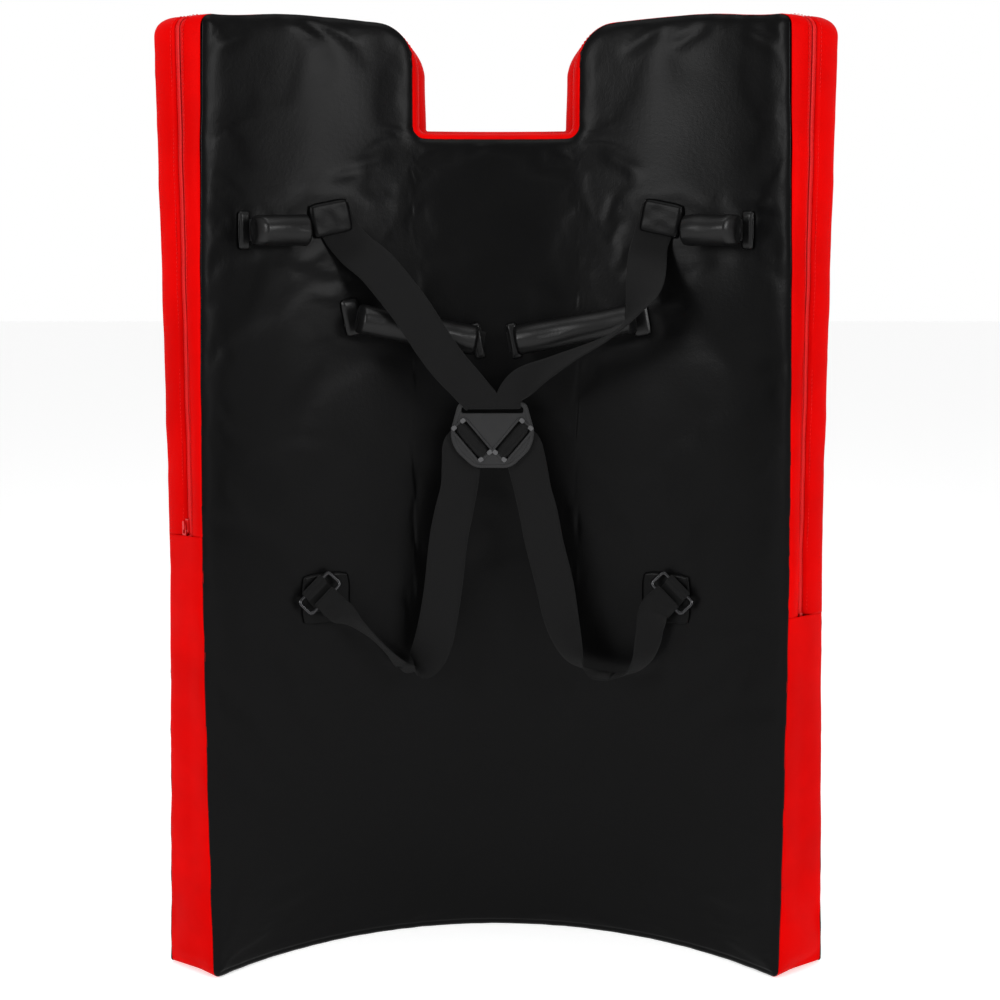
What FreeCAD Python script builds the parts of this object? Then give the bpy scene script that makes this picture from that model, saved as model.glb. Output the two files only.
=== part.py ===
import FreeCAD, Part

import math
import os

import Sketcher

# A tall curved kick shield. Frame: +Z up, -Y towards the person who holds it, +Y out of the
# striking face, origin on the ground under the middle of the shield's box. Millimetres.
# The shield is bent about one upright axis, so every layer is a sector of a ring.

Vector = FreeCAD.Vector
UP = Vector(0, 0, 1)

SIZES = [
    ("rear_radius", 365, "bend radius of the rear (holder's) face"),
    ("pad_depth", 69, "thickness of the whole pad"),
    ("half_angle", 47.3, "half of the angle that the pad spans, degrees"),
    ("side_height", 914, "height of the two outer edges"),
    ("crown_height", 922, "highest point of each wing's top edge"),
    ("crown_offset", 195, "sideways place of that highest point"),
    ("slope_offset", 262, "where the top edge becomes level again, towards the side"),
    ("shoulder_height", 920, "top edge where the neck notch begins"),
    ("shoulder_round", 36, "radius from the top edge into the notch wall"),
    ("notch_half_width", 81.5, "half of the neck notch's width"),
    ("notch_floor", 811, "height of the notch floor"),
    ("notch_corner", 13, "radius in the notch's lower corners"),
    ("cover_sheet", 1.2, "thickness of the coated cover sheets"),
    ("layer_gap", 0.3, "room between two neighbouring layers"),
    ("rear_foam", 8, "thickness of the rear foam sheet"),
    ("striking_foam", 15, "thickness of the foam behind the striking face"),
    ("foam_inset", 4, "how far the foam stays inside the cover's outline"),
    ("zip_radius", 400, "distance of the zip's middle line from the bend axis"),
    ("tape_width", 6, "visible width of one zip tape"),
    ("tape_sheet", 0.8, "thickness of the zip tape"),
    ("tape_inset", 1.6, "how deep the zip tape lies under the gusset's face"),
    ("tape_under", 2.4, "how deep the zip tape's hidden face lies: tape_inset and tape_sheet"),
    ("coil_width", 3, "width of the closed zip coil"),
    ("coil_depth", 2, "thickness of the zip coil"),
    ("zip_end_left", 436, "height where the zip starts on the left side"),
    ("zip_end_right", 356, "height where the zip ends on the right side"),
    ("webbing_width", 38, "width of all harness webbing"),
    ("webbing_sheet", 1.8, "thickness of the webbing"),
    ("grip_radius", 14.5, "outside radius of a grip"),
    ("grip_foam_radius", 13, "outside radius of the foam tube in a grip"),
    ("grip_standoff", 24, "height of a grip's middle over its two feet"),
    ("grip_strap_width", 20, "width of the folded strap inside a grip"),
    ("grip_tab_width", 36, "height of a grip's sewn tab"),
    ("grip_tab_length", 12, "length of a grip's sewn tab"),
    ("grip_rise", 3, "how far along a grip its strap goes while it rises from a foot"),
    ("upper_grip_outer", 235, "sideways place of an upper grip's outer foot"),
    ("upper_grip_inner", 184.5, "sideways place of an upper grip's inner foot"),
    ("upper_grip_height", 721, "height of the upper grips"),
    ("inner_grip_outer", 141, "sideways place of an inner grip's outer foot"),
    ("inner_grip_inner", 18, "sideways place of an inner grip's inner foot"),
    ("inner_grip_top", 638, "height of an inner grip's outer foot"),
    ("inner_grip_low", 613.5, "height of an inner grip's inner foot"),
    ("yoke_offset", -3.5, "sideways place of the yoke plate's middle"),
    ("yoke_centre", 524, "height of the yoke plate's middle"),
    ("yoke_standoff", 46, "distance of the yoke plate from the rear face"),
    ("yoke_sheet", 4, "thickness of the yoke plate"),
    ("yoke_slot_length", 56, "length of the slot for the shoulder strap"),
    ("yoke_slot_width", 4.5, "height of that slot"),
    ("glide_length", 38.6, "length of a tri-glide window"),
    ("glide_width", 15, "width of a tri-glide window"),
    ("glide_bar", 4, "width of the bar across a tri-glide window"),
    ("glide_offset", 20, "sideways place of a window's middle from the yoke's middle"),
    ("glide_drop", 4.5, "how far the window's middle lies under the yoke's middle"),
    ("glide_tilt", 50, "tilt of the windows, degrees"),
    ("shoulder_patch_width", 36, "width of the patch that holds a shoulder strap"),
    ("shoulder_patch_height", 29, "height of that patch"),
    ("shoulder_patch_offset", 160, "sideways place of that patch"),
    ("shoulder_patch_lift", 733, "height of that patch"),
    ("anchor_patch_side", 50, "side of the lower anchor patch"),
    ("anchor_offset", 169, "sideways place of the lower anchor patch"),
    ("anchor_height", 361, "height of the lower anchor patch"),
    ("ring_bar_offset", 179, "sideways place of the ring's near bar"),
    ("ring_bar_height", 375, "height of the ring's near bar"),
    ("ring_bar_length", 42, "length of the ring's two long bars"),
    ("ring_depth", 17, "distance between the ring's two long bars"),
    ("ring_wire", 2, "radius of the ring's wire"),
    ("ring_lift", 7, "height of the ring's bar over the rear face"),
    ("ring_tilt", 41, "slope of the ring's bar, degrees"),
    ("ring_stand", 22, "angle at which the ring stands out of the rear face, degrees"),
    ("loop_width", 26, "width of the webbing loop that holds the ring"),
    ("slider_length", 13, "height of the zip slider"),
    ("slider_width", 9, "width of the zip slider"),
    ("slider_depth", 4, "thickness of the zip slider"),
    ("puller_length", 24, "length of the zip puller"),
]

doc = FreeCAD.newDocument("kick_shield")
sheet = doc.addObject("Spreadsheet::Sheet", "Sizes")
for row, (alias, value, meaning) in enumerate(SIZES, start=1):
    sheet.set("A%d" % row, meaning)
    sheet.set("B%d" % row, str(value))
    sheet.setAlias("B%d" % row, alias)
doc.recompute()

size = {alias: float(value) for alias, value, meaning in SIZES}
front_radius = size["rear_radius"] + size["pad_depth"]
half_angle = math.radians(size["half_angle"])
# The bend axis is placed so that the shield's box is centred on Y = 0.
axis_y = -(size["rear_radius"] * math.cos(half_angle) + front_radius) / 2
AXIS_Y = "-(Sizes.rear_radius * cos(Sizes.half_angle * 1 deg) + Sizes.rear_radius + Sizes.pad_depth) / 2"
REACH = 600
pieces = {}


def keep(name, obj):
    """Marks obj as a finished sub-part, under the name that its file gets."""
    obj.Label = name
    pieces[name] = obj
    return obj


def bind(obj, **expressions):
    """Binds properties of obj to expressions over the sheet."""
    for prop, expression in expressions.items():
        obj.setExpression(prop, expression)
    return obj


# ---------------------------------------------------------------- curved layers

def ring_sector(name, inner, outer, bottom, top, inset="0"):
    """A ring sector about the bend axis. inset pulls both end faces in by that length."""
    angle = "(Sizes.half_angle - (%s) / Sizes.rear_radius * 180 / pi) * 2" % inset
    walls = []
    for tag, radius in (("outside", outer), ("inside", inner)):
        wall = doc.addObject("Part::Cylinder", name + "_" + tag)
        bind(wall, Radius=radius, Height="(%s) - (%s)" % (top, bottom), Angle="(%s) * 1 deg" % angle)
        wall.setExpression("Placement.Base.y", AXIS_Y)
        wall.setExpression("Placement.Base.z", bottom)
        wall.Placement.Rotation = FreeCAD.Rotation(UP, 90)
        wall.setExpression("Placement.Rotation.Yaw", "90 - (%s) / 2" % angle)
        walls.append(wall)
    return doc_cut(name, walls[0], walls[1])


def doc_cut(name, base, tool):
    cut = doc.addObject("Part::Cut", name)
    cut.Base = base
    cut.Tool = tool
    return cut


def doc_common(name, *shapes):
    common = doc.addObject("Part::MultiCommon", name)
    common.Shapes = list(shapes)
    return common


def doc_fuse(name, *shapes):
    fuse = doc.addObject("Part::MultiFuse", name)
    fuse.Shapes = list(shapes)
    return fuse


def doc_box(name, low, high):
    """A box between two corners, given as expressions or numbers."""
    box = doc.addObject("Part::Box", name)
    for prop, axis, place in (("Length", 0, "x"), ("Width", 1, "y"), ("Height", 2, "z")):
        box.setExpression(prop, "(%s) - (%s)" % (high[axis], low[axis]))
        box.setExpression("Placement.Base." + place, "%s" % low[axis])
    return box


def body_plane(body, role):
    return next(f for f in body.Origin.OriginFeatures if f.Role == role)


def closed_sketch(body, name, role, segments):
    """A closed outline. Each segment starts at x, z and ends where the next one starts. It gives x, z,
    the expressions for both, and an arc's radius, its expression and its centre, or None for a line."""
    sketch = body.newObject("Sketcher::SketchObject", name)
    sketch.AttachmentSupport = (body_plane(body, role), [""])
    sketch.MapMode = "FlatFace"
    count = len(segments)
    for index, (x, z, x_text, z_text, radius, radius_text, centre) in enumerate(segments):
        nxt = segments[(index + 1) % count]
        start = Vector(x, z, 0)
        end = Vector(nxt[0], nxt[1], 0)
        if radius is None:
            sketch.addGeometry(Part.LineSegment(start, end), False)
            continue
        middle = Vector(centre[0], centre[1], 0)
        angles = sorted(math.atan2(p.y - middle.y, p.x - middle.x) % (2 * math.pi) for p in (start, end))
        if angles[1] - angles[0] > math.pi:
            angles = [angles[1] - 2 * math.pi, angles[0]]
        sketch.addGeometry(Part.ArcOfCircle(Part.Circle(middle, UP, radius), *angles), False)
    # An arc starts at the end that comes first going anticlockwise about its centre.
    ends = []
    for index, segment in enumerate(segments):
        first = sketch.Geometry[index].StartPoint
        forward = (first - Vector(segment[0], segment[1], 0)).Length < 1e-6
        ends.append((1, 2) if forward else (2, 1))
    for index, segment in enumerate(segments):
        following = (index + 1) % count
        sketch.addConstraint(
            Sketcher.Constraint("Coincident", index, ends[index][1], following, ends[following][0]))
        for kind, value, text in (("DistanceX", segment[0], segment[2]), ("DistanceY", segment[1], segment[3])):
            number = sketch.addConstraint(Sketcher.Constraint(kind, -1, 1, index, ends[index][0], value))
            sketch.setExpression("Constraints[%d]" % number, text)
        if segment[4] is not None:
            number = sketch.addConstraint(Sketcher.Constraint("Radius", index, segment[4]))
            sketch.setExpression("Constraints[%d]" % number, segment[5])
    return sketch


def outline_prism(name, inset_alias=None):
    """The shield's front outline as an upright prism: level bottom, crowned wings, neck notch.
    With an inset it is smaller by that length all round."""
    inset = size[inset_alias] if inset_alias else 0
    less = " - Sizes." + inset_alias if inset_alias else ""
    more = " + Sizes." + inset_alias if inset_alias else ""
    notch = size["notch_half_width"] + inset
    floor = size["notch_floor"] - inset
    corner = size["notch_corner"] + inset
    shoulder = size["shoulder_round"] - inset
    shoulder_x = size["notch_half_width"] + size["shoulder_round"]
    shoulder_z = size["shoulder_height"] - size["shoulder_round"]
    wide = REACH * 0.6
    notch_text = "(Sizes.notch_half_width%s)" % more
    corner_text = "(Sizes.notch_corner%s)" % more
    floor_text = "(Sizes.notch_floor%s)" % less
    shoulder_text = "(Sizes.shoulder_round%s)" % less
    shoulder_x_text = "(Sizes.notch_half_width + Sizes.shoulder_round)"
    shoulder_z_text = "(Sizes.shoulder_height - Sizes.shoulder_round)"

    right = [
        (wide, size["side_height"] - inset, "%g" % wide, "Sizes.side_height" + less, None),
        (size["slope_offset"], size["side_height"] - inset,
         "Sizes.slope_offset", "Sizes.side_height" + less, None),
        (size["crown_offset"], size["crown_height"] - inset,
         "Sizes.crown_offset", "Sizes.crown_height" + less, None),
        (shoulder_x, size["shoulder_height"] - inset,
         shoulder_x_text, "Sizes.shoulder_height" + less, (shoulder_x, shoulder_z, shoulder, shoulder_text)),
        (notch, shoulder_z, notch_text, shoulder_z_text, None),
        (notch, floor + corner, notch_text, floor_text + " + " + corner_text,
         (notch - corner, floor + corner, corner, corner_text)),
        (notch - corner, floor, notch_text + " - " + corner_text, floor_text, None),
    ]
    segments = [
        (-wide, inset, "-%g" % wide, "0" + more, None, None, None),
        (wide, inset, "%g" % wide, "0" + more, None, None, None),
    ]
    for x, z, x_text, z_text, arc in right:
        if arc:
            segments.append((x, z, x_text, z_text, arc[2], arc[3], arc[:2]))
        else:
            segments.append((x, z, x_text, z_text, None, None, None))
    # The left half repeats the right half backwards, so an arc moves to the segment before it.
    for index in range(len(right) - 1, -1, -1):
        x, z, x_text, z_text, own = right[index]
        arc = right[index - 1][4] if index else None
        if arc:
            segments.append((-x, z, "-(%s)" % x_text, z_text, arc[2], arc[3], (-arc[0], arc[1])))
        else:
            segments.append((-x, z, "-(%s)" % x_text, z_text, None, None, None))
    body = doc.addObject("PartDesign::Body", name)
    sketch = closed_sketch(body, name + "_sketch", "XZ_Plane", segments)
    pad = body.newObject("PartDesign::Pad", name + "_pad")
    pad.Profile = sketch
    pad.SideType = "Symmetric"
    pad.Length = 2 * REACH
    sketch.Visibility = False
    return body


outline = outline_prism("full_outline")
foam_outline = outline_prism("foam_outline", "foam_inset")
sheet_outline = outline_prism("sheet_outline", "cover_sheet")
tape_outline = outline_prism("tape_outline", "tape_inset")
tape_under = outline_prism("tape_under_outline", "tape_under")
doc.recompute()


def layer(name, inner, outer, inset_alias=None, tall=outline, bottom="Sizes.cover_sheet + Sizes.layer_gap"):
    """One curved layer of the pad, cut to the shield's outline."""
    inset = "Sizes." + inset_alias if inset_alias else "0"
    block = ring_sector(name + "_block", inner, outer, bottom, "Sizes.crown_height + 20", inset)
    return doc_common(name, block, tall)


REAR = "Sizes.rear_radius"
FRONT = "(Sizes.rear_radius + Sizes.pad_depth)"
REAR_INSIDE = "(Sizes.rear_radius + Sizes.cover_sheet + Sizes.layer_gap)"
FRONT_INSIDE = "(Sizes.rear_radius + Sizes.pad_depth - Sizes.cover_sheet - Sizes.layer_gap)"
REAR_FOAM_TOP = "(%s + Sizes.rear_foam)" % REAR_INSIDE
STRIKING_FOAM_LOW = "(%s - Sizes.striking_foam)" % FRONT_INSIDE

keep("rear_panel", layer("rear_panel", REAR, "Sizes.rear_radius + Sizes.cover_sheet"))
keep("front_panel", layer("front_panel", FRONT + " - Sizes.cover_sheet", FRONT))
keep("rear_foam_sheet", layer("rear_foam_sheet", REAR_INSIDE, REAR_FOAM_TOP, "foam_inset", foam_outline))
keep("core_foam_block", layer("core_foam_block", REAR_FOAM_TOP + " + Sizes.layer_gap",
                              STRIKING_FOAM_LOW + " - Sizes.layer_gap", "foam_inset", foam_outline))
keep("striking_foam_sheet", layer("striking_foam_sheet", STRIKING_FOAM_LOW, FRONT_INSIDE,
                                  "foam_inset", foam_outline))
keep("bottom_gusset", ring_sector("bottom_gusset", REAR, FRONT, "0", "Sizes.cover_sheet"))


# ---------------------------------------------------------------- gussets and zip

def gusset_band(name, inner, outer, outside, inside, outside_alias=None, inside_alias=None):
    """A thin band that follows the shield's edge: one outline less a smaller one."""
    whole = layer(name + "_whole", inner, outer, outside_alias, outside)
    hollow = layer(name + "_hollow", inner + " - 1", outer + " + 1", inside_alias, inside, "-1")
    return doc_cut(name, whole, hollow)


def above_zip_ends(name, band):
    """Takes away what lies under the zip's two ends."""
    left = doc_box(name + "_left", (-REACH, -REACH, -10), (0, REACH, "Sizes.zip_end_left"))
    right = doc_box(name + "_right", (0, -REACH, -10), (REACH, REACH, "Sizes.zip_end_right"))
    return doc_cut(name, band, doc_fuse(name + "_ends", left, right))


TAPE_IN = "(Sizes.zip_radius - Sizes.coil_width / 2 - Sizes.layer_gap - Sizes.tape_width)"
TAPE_OUT = "(Sizes.zip_radius + Sizes.coil_width / 2 + Sizes.layer_gap + Sizes.tape_width)"

rear_band = gusset_band("rear_band", REAR_INSIDE, TAPE_IN + " - Sizes.layer_gap",
                        outline, sheet_outline, None, "cover_sheet")
keep("upper_gusset_rear", above_zip_ends("upper_gusset_rear", rear_band))
front_band = gusset_band("front_band", TAPE_OUT + " + Sizes.layer_gap", FRONT_INSIDE,
                         outline, sheet_outline, None, "cover_sheet")
keep("upper_gusset_front", above_zip_ends("upper_gusset_front", front_band))

full_band = gusset_band("full_band", REAR_INSIDE, FRONT_INSIDE, outline, sheet_outline, None, "cover_sheet")
for side, low_x, high_x, end in (("left", -REACH, -100, "Sizes.zip_end_left"),
                                 ("right", 100, REACH, "Sizes.zip_end_right")):
    zone = doc_box("lower_zone_" + side, (low_x, -REACH, 1.5), (high_x, REACH, end + " - Sizes.layer_gap"))
    keep("lower_gusset_" + side, doc_common("lower_gusset_" + side, full_band, zone))

ZIP_SHEETS = (
    ("zip_tape_rear", TAPE_IN, "Sizes.zip_radius - Sizes.coil_width / 2 - Sizes.layer_gap"),
    ("zip_tape_front", "Sizes.zip_radius + Sizes.coil_width / 2 + Sizes.layer_gap", TAPE_OUT),
)
for name, low, high in ZIP_SHEETS:
    band = gusset_band(name + "_band", low, high, tape_outline, tape_under, "tape_inset", "tape_under")
    keep(name, above_zip_ends(name, band))
coil_band = gusset_band("coil_band", "Sizes.zip_radius - Sizes.coil_width / 2",
                        "Sizes.zip_radius + Sizes.coil_width / 2", sheet_outline, tape_under,
                        "cover_sheet", "tape_under")
keep("zip_coil", above_zip_ends("zip_coil", coil_band))


# ---------------------------------------------------------------- places on the curved rear face

def rear_point(across, height, off=0.0):
    """A point in front of the rear face: across along X, height along Z, off towards the holder."""
    radius = size["rear_radius"] - off
    return Vector(across, axis_y + math.sqrt(radius ** 2 - across ** 2), height)


def rear_normal(across):
    """The direction from the rear face towards the holder."""
    angle = math.asin(across / size["rear_radius"])
    return Vector(-math.sin(angle), -math.cos(angle), 0)


def frame(origin, x_dir, z_dir):
    """A placement whose local X and Z lie along the two directions."""
    z_dir = Vector(z_dir).normalize()
    y_dir = z_dir.cross(x_dir).normalize()
    x_dir = y_dir.cross(z_dir)
    matrix = FreeCAD.Matrix(x_dir.x, y_dir.x, z_dir.x, origin.x, x_dir.y, y_dir.y, z_dir.y, origin.y,
                            x_dir.z, y_dir.z, z_dir.z, origin.z, 0, 0, 0, 1)
    return FreeCAD.Placement(matrix)


def local_box(name, x_low, x_size, y_low, y_size, z_low, z_size, place):
    """A box in a local frame. The sizes may be numbers or expressions, the corner is numbers."""
    box = doc.addObject("Part::Box", name)
    for prop, value in (("Length", x_size), ("Width", y_size), ("Height", z_size)):
        box.setExpression(prop, "%s" % value)
    box.Placement = place.multiply(FreeCAD.Placement(Vector(x_low, y_low, z_low), FreeCAD.Rotation()))
    return box


def rod(name, radius, start, along, length):
    """A cylinder from start, along a direction."""
    cylinder = doc.addObject("Part::Cylinder", name)
    bind(cylinder, Radius=radius, Height=length)
    cylinder.Placement = FreeCAD.Placement(start, FreeCAD.Rotation(UP, along))
    return cylinder


def solid(name, shape):
    feature = doc.addObject("Part::Feature", name)
    feature.Shape = shape
    return feature


def curved_patch(name, side, offset, height_middle, width, height, off, thick):
    """A sewn patch that follows the rear face: a small ring sector, off mm in front of it."""
    outer = "Sizes.rear_radius - %s" % off
    angle = "(%s) / Sizes.rear_radius * 180 / pi" % width
    middle = "%g * asin((%s) / Sizes.rear_radius) / 1 deg" % (side, offset)
    walls = []
    for tag, radius in (("outside", outer), ("inside", outer + " - %s" % thick)):
        wall = doc.addObject("Part::Cylinder", name + "_" + tag)
        bind(wall, Radius=radius, Height=height, Angle="(%s) * 1 deg" % angle)
        wall.setExpression("Placement.Base.y", AXIS_Y)
        wall.setExpression("Placement.Base.z", "(%s) - (%s) / 2" % (height_middle, height))
        wall.Placement.Rotation = FreeCAD.Rotation(UP, 90)
        wall.setExpression("Placement.Rotation.Yaw", "90 - (%s) - (%s) / 2" % (middle, angle))
        walls.append(wall)
    return doc_cut(name, walls[0], walls[1])


def webbing(stations, width, thick):
    """A strap as one solid of flat facets. Each station is (point, direction of the width)."""
    points = [point for point, across in stations]
    sections = []
    for index, (point, across) in enumerate(stations):
        before = points[max(index - 1, 0)]
        after = points[min(index + 1, len(points) - 1)]
        run = (after - before).normalize()
        across = Vector(across)
        across = (across - run * across.dot(run)).normalize()
        face = run.cross(across)
        sections.append([point + across * (width / 2 * a) + face * (thick / 2 * b)
                         for a, b in ((-1, -1), (1, -1), (1, 1), (-1, 1))])
    # The two broad faces are split along the same diagonal, so a twisted strap keeps its thickness.
    triangles = []
    for near, far in zip(sections, sections[1:]):
        for corner in (0, 1):
            triangles.append((near[corner], near[corner + 1], far[corner + 1]))
            triangles.append((near[corner], far[corner + 1], far[corner]))
        for corner, after in ((2, 3), (3, 0)):
            triangles.append((near[corner], near[after], far[corner]))
            triangles.append((near[after], far[after], far[corner]))
    for first, second, third, fourth in (sections[0][::-1], sections[-1]):
        triangles.append((first, second, third))
        triangles.append((first, third, fourth))
    faces = [Part.Face(Part.makePolygon([a, b, c, a])) for a, b, c in triangles]
    strap = Part.Solid(Part.Shell(faces))
    if strap.Volume < 0:
        strap.reverse()
    return strap


# ---------------------------------------------------------------- zip slider, puller and stops

def side_frame(side, height):
    """On a side gusset: local X runs along the radius, local Y points out of the gusset."""
    radial = Vector(side * math.sin(half_angle), math.cos(half_angle), 0)
    outward = Vector(side * math.cos(half_angle), -math.sin(half_angle), 0)
    origin = Vector(0, axis_y, height) + radial * size["zip_radius"]
    z_dir = radial.cross(outward)
    return frame(origin, radial, z_dir)


slider_low = size["zip_end_left"] + 1
pin_height = slider_low + 7
plate_low, plate_top, channel_top, pin_out = -1.5, 1.2, -0.9, 2.5
left_side = side_frame(-1, 0)
slider_block = local_box("slider_block", -size["slider_width"] / 2, "Sizes.slider_width", plate_low,
                         plate_top - plate_low, slider_low, "Sizes.slider_length", left_side)
slider_channel = local_box("slider_channel", -2.5, 5, plate_low - 1, channel_top - plate_low + 1,
                           slider_low - 1, "Sizes.slider_length + 2", left_side)
slider_bridge = local_box("slider_bridge", -1.5, 3, plate_top, pin_out + 1.4 - plate_top,
                          slider_low + 3, 8, left_side)
radial_left = left_side.Rotation.multVec(Vector(1, 0, 0))
pin_start = left_side.multVec(Vector(-2.7, pin_out, pin_height))
pin_hole = rod("pin_hole", "0.8", pin_start, radial_left, "5.4")
slider_plate = doc_cut("slider_plate", slider_block, slider_channel)
keep("zip_slider", doc_cut("zip_slider", doc_fuse("slider_solid", slider_plate, slider_bridge), pin_hole))

puller_pin = rod("puller_pin", "0.75", pin_start, radial_left, "5.4")
puller_arms = [local_box("puller_arm_%d" % n, low, 1, pin_out - 0.6, 1.2, pin_height - 9, 9.6, left_side)
               for n, low in enumerate((-2.7, 1.7))]
puller_blade = local_box("puller_blade", -2.7, 5.4, pin_out - 0.6, 1.2,
                         pin_height - size["puller_length"], "Sizes.puller_length - 8", left_side)
keep("zip_puller", doc_fuse("zip_puller", puller_pin, puller_blade, *puller_arms))

right_side = side_frame(1, 0)
stop_height = 3.5
# The right side's frame has its local Z pointing down.
stops = [local_box("zip_stop_left", -3, 6, 0.2, 1.1, size["zip_end_left"] - 5, stop_height, left_side),
         local_box("zip_stop_right", -3, 6, 0.2, 1.1, 5 - size["zip_end_right"] - stop_height,
                   stop_height, right_side)]
keep("zip_end_stops", doc_fuse("zip_end_stops", *stops))


# ---------------------------------------------------------------- four padded grips

GRIPS = {
    "upper": ("upper_grip_outer", "upper_grip_height", "upper_grip_inner", "upper_grip_height"),
    "inner": ("inner_grip_outer", "inner_grip_top", "inner_grip_inner", "inner_grip_low"),
}

FOOT_LIFT = 1.7      # height of the strap's feet over the rear face
TAB_LIFT = 3.6       # height of the tabs that are sewn over the feet
KNEE_IN = 1.5        # how far inside a tab's end the strap begins to rise
TAB_CLEAR = 2.5      # room between a tab and the rising strap
END_PLAY = 1         # room between a grip's end and the strap's bend
SLIT_PLAY = 0.5      # room round the strap inside the foam


def grip(row, side):
    """A grip: webbing between two sewn tabs, a foam tube round it, and a sleeve over the foam."""
    outer_x, outer_z, inner_x, inner_z = (size[key] for key in GRIPS[row])
    name = "%s_%s_grip" % (row, "right" if side > 0 else "left")
    outer = rear_point(side * outer_x, outer_z)
    inner = rear_point(side * inner_x, inner_z)
    chord = outer - inner
    half = chord.Length / 2
    middle = (outer + inner) / 2
    out = rear_normal(middle.x)
    place = frame(middle, chord, out)
    slope = math.tan((math.asin(outer_x / size["rear_radius"]) - math.asin(inner_x / size["rear_radius"])) / 2)
    rise = size["grip_standoff"]
    tip = size["grip_tab_length"] / 2
    knee = tip - KNEE_IN

    def foot(sign, distance, lift):
        return (sign * (half + distance), lift + distance * slope)

    bend = half - knee - size["grip_rise"]
    route = [foot(-1, tip, FOOT_LIFT), foot(-1, -knee, FOOT_LIFT), (-bend, rise),
             (bend, rise), foot(1, -knee, FOOT_LIFT), foot(1, tip, FOOT_LIFT)]
    across = place.Rotation.multVec(Vector(0, 1, 0))
    stations = [(place.multVec(Vector(u, 0, w)), across) for u, w in route]
    keep(name + "_strap", solid(name + "_strap", webbing(stations, size["grip_strap_width"],
                                                        size["webbing_sheet"])))
    tabs = []
    for sign in (-1, 1):
        ends = [foot(sign, distance, TAB_LIFT) for distance in (tip, TAB_CLEAR - knee)]
        run = [(place.multVec(Vector(u, 0, w)), across) for u, w in ends]
        tabs.append(webbing(run, size["grip_tab_width"], size["cover_sheet"]))
    keep(name + "_tabs", solid(name + "_tabs", Part.makeCompound(tabs)))

    roll = bend - END_PLAY
    start = place.multVec(Vector(-roll, 0, rise))
    along = place.Rotation.multVec(Vector(1, 0, 0))
    foam = rod(name + "_foam_rod", "Sizes.grip_foam_radius", start, along, "%g" % (2 * roll))
    slit = local_box(name + "_slit", -roll - 1, "%g" % (2 * roll + 2),
                     -size["grip_strap_width"] / 2 - SLIT_PLAY, "Sizes.grip_strap_width + %g" % (2 * SLIT_PLAY),
                     rise - size["webbing_sheet"] / 2 - SLIT_PLAY, "Sizes.webbing_sheet + %g" % (2 * SLIT_PLAY),
                     place)
    keep(name + "_foam", doc_cut(name + "_foam", foam, slit))
    skin = rod(name + "_skin", "Sizes.grip_radius", start, along, "%g" % (2 * roll))
    bore = rod(name + "_bore", "Sizes.grip_foam_radius + Sizes.layer_gap", start, along, "%g" % (2 * roll))
    keep(name + "_sleeve", doc_cut(name + "_sleeve", skin, bore))


for row in GRIPS:
    for side in (-1, 1):
        grip(row, side)


# ---------------------------------------------------------------- lower anchors and rings

TAIL_LENGTH = 24     # how far the sewn tail of the webbing loop runs
TAIL_LIFT = 2.5      # height of that tail over the rear face
STEM = 2             # the web between the loop and its tail


def anchor(side):
    """A sewn patch with a webbing loop that holds one long bar of a rectangular ring."""
    tag = "right" if side > 0 else "left"
    keep("anchor_patch_" + tag,
         curved_patch("anchor_patch_" + tag, side, "Sizes.anchor_offset", "Sizes.anchor_height",
                      "Sizes.anchor_patch_side", "Sizes.anchor_patch_side", "0.3", "Sizes.cover_sheet"))
    across = side * size["ring_bar_offset"]
    centre = rear_point(across, size["ring_bar_height"], size["ring_lift"])
    out = rear_normal(across)
    tilt = math.radians(size["ring_tilt"])
    bar = (UP.cross(out) * (side * math.cos(tilt)) - UP * math.sin(tilt)).normalize()
    pull = bar.cross(out) * side
    stand = math.radians(size["ring_stand"])
    reach = (pull * math.cos(stand) + out * math.sin(stand)).normalize()

    half_bar = size["ring_bar_length"] / 2
    far = centre + reach * size["ring_depth"]
    wires = [rod("ring_bar_%s_%d" % (tag, n), "Sizes.ring_wire", place - bar * half_bar, bar,
                 "Sizes.ring_bar_length") for n, place in enumerate((centre, far))]
    for sign in (-1, 1):
        corner = centre + bar * (sign * half_bar)
        wires.append(rod("ring_side_%s_%d" % (tag, sign), "Sizes.ring_wire", corner, reach, "Sizes.ring_depth"))
        for n, place in enumerate((corner, corner + reach * size["ring_depth"])):
            ball = doc.addObject("Part::Sphere", "ring_corner_%s_%d_%d" % (tag, sign, n))
            bind(ball, Radius="Sizes.ring_wire")
            ball.Placement = FreeCAD.Placement(place, FreeCAD.Rotation())
            wires.append(ball)
    keep("ring_" + tag, doc_fuse("ring_" + tag, *wires))

    width = size["loop_width"]
    collar = rod("loop_collar_" + tag, "Sizes.ring_wire + Sizes.webbing_sheet", centre - bar * (width / 2),
                 bar, "Sizes.loop_width")
    # The loop's tail lies on the patch, on the side that the ring hangs to.
    low = TAIL_LIFT - size["ring_lift"]
    place = frame(centre, bar, out)
    tail_low = 0 if side < 0 else -TAIL_LENGTH
    tail = local_box("loop_tail_" + tag, -width / 2, "Sizes.loop_width", tail_low, TAIL_LENGTH,
                     low, "Sizes.webbing_sheet", place)
    stem = local_box("loop_stem_" + tag, -width / 2, "Sizes.loop_width", -STEM / 2, STEM, low, 3, place)
    bore = rod("loop_bore_" + tag, "Sizes.ring_wire + 0.2", centre - bar * (width / 2 + 1), bar,
               "Sizes.loop_width + 2")
    keep("anchor_loop_" + tag, doc_cut("anchor_loop_" + tag,
                                       doc_fuse("loop_solid_" + tag, collar, tail, stem), bore))
    return centre, bar, reach


anchors = {side: anchor(side) for side in (-1, 1)}


# ---------------------------------------------------------------- yoke plate

yoke_middle = rear_point(0, size["yoke_centre"], size["yoke_standoff"]) + Vector(size["yoke_offset"], 0, 0)
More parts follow.
